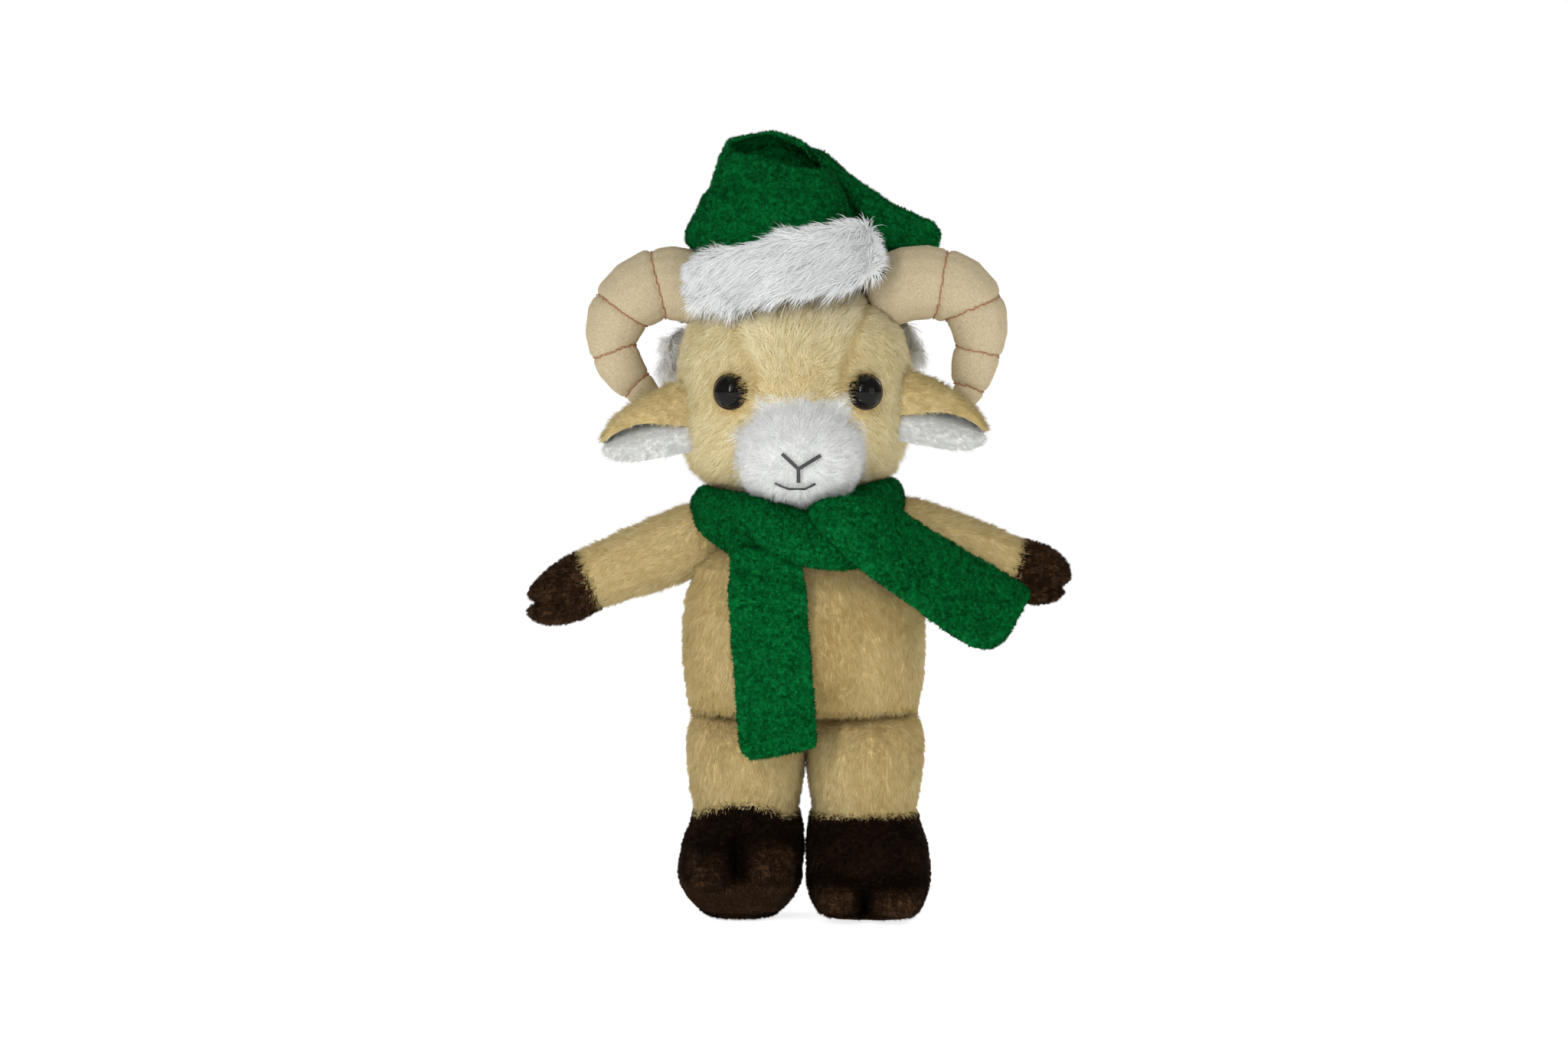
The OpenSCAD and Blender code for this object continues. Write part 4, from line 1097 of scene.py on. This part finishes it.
def torso_shape(V):
    middle = (torso_low[0] + torso_high[0]) / 2
    V = V.copy()
    V[:, 0] = middle + (V[:, 0] - middle) * np.interp(V[:, 2], *zip(*UNDER_ARMS))
    # the belly rounds in towards the crease over the legs
    fall = down(V[:, 2], 91, 20) ** 1.6
    V[:, 1] *= 1 - np.where(V[:, 1] < 0, 0.24, 0.2) * fall
    V[:, 0] -= (V[:, 0] - middle) * 0.012 * fall
    return V


def torso_comb(V):
    out = np.tile(DOWN, (len(V), 1))
    out[:, 0] += 0.5 * (noise(V, 26, 41) - 0.5) + 0.15 * np.sign(V[:, 0])
    return out


def torso_tone(V):
    rise = (V[:, 2] - torso_low[2]) / (torso_high[2] - torso_low[2])
    out = 0.40 + 0.26 * (noise(V, 24, 43) - 0.5)
    out -= 0.1 * bell(V[:, 2] - 73, 3.5)  # painted shade in the crease over the legs
    # painted shade beside the scarf's hanging end
    out -= 0.16 * np.exp(-(((V[:, 0] - 12) / 9) ** 2) - ((V[:, 2] - 88) / 16) ** 2) * (V[:, 1] < 0)
    # painted shade under the scarf
    out -= 0.22 * np.exp(-(((V[:, 0] - 24) / 15) ** 2) - ((V[:, 2] - 109) / 9) ** 2) * (V[:, 1] < 0)
    return out + 0.1 * up(V[:, 0], 36, 8) - 0.06 * (rise > 0.85)


plush("torso", "torso", ["torso_front", "torso_back"], ["torso_stuffing"], comb=torso_comb, tone=torso_tone,
      shape=torso_shape)
plush("tail", "torso", ["tail"], [], voxel=1.2, inset=1.0, length=4.5, lift=0.8)

# ------------------------------------------------------------------ arms


BROWN_PILE = dict(kind="brown", lift=0.8, stray=0.35)
HOOF_PILE = dict(per_mm2=BROWN_DENSITY, length=1.5, clump=1.7, pull=0.5, swirl=0.5, grade=0.2, **BROWN_PILE)


def limb(nodes, hidden, shape):
    """Base mesh of a limb, the number of the node that each point belongs to, and how near it
    is to the brown plush."""
    V, Q = cad_skin(nodes + hidden, 1.4)
    V = smooth(V, Q, 5)
    own, _ = nearest_of(V, nodes)
    V = shape(V, normals(V, Q), own)
    V = smooth(V, Q, 1)
    other = KDTree(int((own > 0).sum()))
    for k, p in enumerate(V[own > 0]):
        other.insert(p, k)
    other.balance()
    far = np.array([other.find(p)[2] for p in V])
    return V, Q, own, bell(far, 2.2)


def limb_pieces(body, nodes, hidden, V, Q, own, finish):
    """One padded piece of cloth for each node, with its pile. finish has their slots, cloths and
    the settings of their pile."""
    for k, node in enumerate(nodes):
        mine = (own[Q] == k).sum(1) > 1
        if k:
            mine &= ~np.any([(own[Q] == j).sum(1) > 1 for j in range(k)], axis=0)
        PV, PQ = part_of(V, Q, mine)
        slot_name, ground, settings = finish[k]
        piece(f"{node}_cloth", body, PV, PQ, [ground],
              stands_for=[node] + (hidden if k == 0 else []))
        weight = (np.bincount(Q[mine].ravel(), minlength=len(V)) > 0).astype(float)
        pile(node, body, slot_name, V=V, Q=Q, keep=weight, **settings)


for side_name, s in (("left", 1), ("right", -1)):
    nodes, hidden = [f"arm_{side_name}", f"arm_hoof_{side_name}"], [f"arm_stuffing_{side_name}"]
    HV, _ = cad_mesh([nodes[1]])
    tip = HV[(HV[:, 0] * s).argmax()]
    wrist = HV[HV[:, 0] * s < (HV[:, 0] * s).min() + 2].mean(0)
    along_hoof = unit(tip - wrist)
    across_hoof = np.array([-along_hoof[2], 0, along_hoof[0]])

    def shape_arm(V, N, own):
        hoof = own == 1
        V = V - N * np.where(hoof, 0.9, 1.5)[:, None]
        # the cleft splits the hoof's end into two lobes
        rel = V - wrist
        far = rel @ along_hoof / np.linalg.norm(tip - wrist)
        off = rel @ across_hoof + (1.8 if s > 0 else 1.0)
        deep = 4.2 * up(far, 0.25, 0.5) * bell(off, 1.7) * (np.abs(V[:, 1]) > 0.8)
        V = V - N * (deep * hoof)[:, None]
        notch = 5.0 * bell(off, 1.6) * up(far, 0.8, 0.2)
        return V - along_hoof * (notch * hoof)[:, None]

    V, Q, own, seam = limb(nodes, hidden, shape_arm)
    out = np.tile(np.array([0.75 * s, 0, -0.35]), (len(V), 1))
    out[:, 2] += 0.5 * (noise(V, 18, 44) - 0.5)
    tan_tone = 0.50 + 0.16 * (noise(V, 15, 45) - 0.5) - 0.1 * seam
    hoof_tone = 0.66 + 0.3 * (noise(V, 5, 46) - 0.5)
    limb_pieces(f"{side_name}_arm", nodes, hidden, V, Q, own, [
        ("tan_plush", tan_ground, dict(length=3.1 * (1 - 0.6 * seam), comb=out, tone=tan_tone, **TAN_PILE)),
        ("brown_plush", brown_ground, dict(comb=[0.5 * s, 0, -0.3], tone=hoof_tone, **HOOF_PILE)),
    ])

# ------------------------------------------------------------------ legs

for side_name, s in (("left", 1), ("right", -1)):
    nodes = [f"leg_{side_name}", f"foot_hoof_{side_name}", f"foot_sole_{side_name}"]
    hidden = [f"leg_stuffing_{side_name}"]
    foot_low, foot_high = corners(nodes[1])
    foot_x = (foot_low[0] + foot_high[0]) / 2

    # toes, as the place in x and z, the half-sizes and the bulge of each
    TOES = [(13.2, 8.0, 8.0, 5.5, 5.4), (34.0, 6.8, 9.5, 6.0, 5.4)] if s > 0 else (
        [(-32.5, 18.0, 7.5, 6.5, 3.8), (-9.8, 21.0, 9.5, 7.0, 4.2)])
    cleft_x, cleft_low, cleft_high = (23.0, 1.0, 13.0) if s > 0 else (-22.0, 15.0, 36.0)

    def toes(V, wider=1.0):
        return sum(
            bulge * np.exp(-(((V[:, 0] - cx) / rx / wider) ** 4) - ((V[:, 2] - cz) / rz / wider) ** 4)
            for cx, cz, rx, rz, bulge in TOES
        )

    def shape_leg(V, N, own):
        x, y, z = V.T
        if s < 0:
            # this foot is turned up: its front seam arches, and its sole shows below the toes
            arch = 33.5 + 7.0 * np.clip(1 - ((x - foot_x) / 20) ** 2, 0, 1) * up(-y, 0, 12)
            own[(own == 0) & (z < arch)] = 1
            own[(own == 1) & (z < 15.5 - 4 * bell(x + 32, 7)) & (y < -6)] = 2
        foot = own > 0
        thigh = up(z, 40, 22)
        V = V - N * np.where(foot, 0.3, 1.2 - 2.3 * thigh)[:, None] * (z > 1.0)[:, None]
        # the filled foot is round below, and the toe-lifted one more so
        low = down(z, 15, 15) ** 2
        V[:, 0] = foot_x + (V[:, 0] - foot_x) * (1 - (0.12 if s > 0 else 0.34) * low)
        V[:, 1] = V[:, 1] * (1 - (0.1 if s > 0 else 0.28) * down(z, 15, 15) ** (2 if s > 0 else 1.2))
        front = up(-y, 6, 12) * foot
        push = 0.4 * (toes(V, 1.4) - toes(V)) - toes(V)
        # the cleft between them
        fade = np.clip((cleft_high - z) / 8, 0, 1) * np.clip((z - cleft_low) / 4 + 0.3, 0, 1)
        push += (7.5 if s > 0 else 5.5) * bell(x - cleft_x, 2.6) * fade
        V[:, 1] += push * front
        return V

    V, Q, own, seam = limb(nodes, hidden, shape_leg)
    out = np.tile(DOWN, (len(V), 1))
    out[:, 0] += 0.7 * (noise(V, 20, 54) - 0.5) + 0.25 * up(V[:, 2], 60, 10)
    # painted shade: the leg's top is darker under the belly's overhang
    tan_tone = 0.47 + 0.18 * (noise(V, 15, 55) - 0.5) - 0.12 * up(V[:, 2], 66, 5)
    hoof_tone = 0.26 + 0.3 * (noise(V, 6, 56) - 0.5)
    # painted sheen makes the toes lighter, and a ring of painted shade goes round them
    hoof_tone = hoof_tone + (0.22 * toes(V) - 0.12 * toes(V, 1.4)) * (V[:, 1] < -14)
    hoof_tone = hoof_tone + 0.14 * up(np.abs(V[:, 0] - foot_x), 12, 8)
    sole_tone = 0.6 + 0.2 * (noise(V, 6, 57) - 0.5) - 2 * (V[:, 2] < 2)
    brushed = [0.2, 0, -0.5]
    limb_pieces(f"{side_name}_leg", nodes, hidden, V, Q, own, [
        ("tan_plush", tan_ground, dict(length=3.2 * (1 - 0.55 * seam), comb=out, tone=tan_tone, **TAN_PILE)),
        ("brown_plush", brown_ground, dict(comb=brushed, tone=hoof_tone, **HOOF_PILE)),
        ("brown_sole", sole_ground, dict(per_mm2=BROWN_DENSITY if s < 0 else 0.1, length=0.9, comb=brushed,
                                         tone=sole_tone, clump=1.5, pull=0.4, grade=0.1, **BROWN_PILE)),
    ])

dress("nose_embroidery", face_thread)
# the mouth is one thin thread, drawn tight
V, Q = cad_mesh(["mouth_embroidery"])
V = V - normals(V, Q) * 0.2
V[:, 0] = V[:, 0].mean() + 0.88 * (V[:, 0] - V[:, 0].mean())
piece("mouth_embroidery_thread", "head", V, Q, [face_thread], stands_for=["mouth_embroidery"])

# ------------------------------------------------------------------ studio


LOOKS_AT = Vector((0, 0, 0.15))
SKY, WALLS = 0.36, 1.0  # the walls are lit to pure white, and give the toy less light than they show
FLOOR_GLOW = 0.78

# name, place, width, height, watts
for name, at, wide, tall, watts in (
    ("key", (-0.3, -1.25, 0.8), 0.5, 0.9, 2.6),
    ("fill", (0.95, -0.8, 0.2), 0.7, 0.7, 2.4),
    ("top", (0.0, 0.1, 1.1), 0.9, 0.9, 1.6),
    ("glint", (-0.42, -1.15, 0.5), 0.045, 0.6, 5.5),
    ("back_left", (-0.7, 0.9, 0.5), 0.5, 0.5, 3.6),
    ("back_right", (0.7, 0.9, 0.5), 0.5, 0.5, 3.6),
):
    light = bpy.data.lights.new(name, "AREA")
    light.shape, light.size, light.size_y, light.energy = "RECTANGLE", wide, tall, watts
    o = bpy.data.objects.new(name, light)
    o.location = at
    o.rotation_euler = (LOOKS_AT - Vector(at)).to_track_quat("-Z", "Y").to_euler()
    bpy.context.scene.collection.objects.link(o)

world = bpy.data.worlds.new("studio")
bpy.context.scene.world = world
world.use_nodes = True
tree = world.node_tree
sky, shown = tree.nodes["Background"], add(tree, "Background")
for background, strength in ((sky, SKY), (shown, WALLS)):
    plug(tree, background, Color=(1, 1, 1, 1), Strength=strength)
either = add(tree, "MixShader", Fac=add(tree, "LightPath").outputs["Is Camera Ray"])
tree.links.new(sky.outputs["Background"], either.inputs[1])
tree.links.new(shown.outputs["Background"], either.inputs[2])
plug(tree, tree.nodes["World Output"], Surface=either.outputs["Shader"])
bpy.context.scene.view_settings.view_transform = "Standard"

bpy.ops.mesh.primitive_plane_add(size=8.0, location=(0, 0, -0.0012))
floor = bpy.context.object
floor.name = "floor"
paper = patterned("pale_floor", (0.93, 0.93, 0.93), (0.96, 0.96, 0.96), 0.9, mottle(60, 2), (0.02, 0.2),
                  Emission_Color=(1, 1, 1, 1), Emission_Strength=FLOOR_GLOW)
floor.data.materials.append(paper)

bpy.context.view_layer.update()
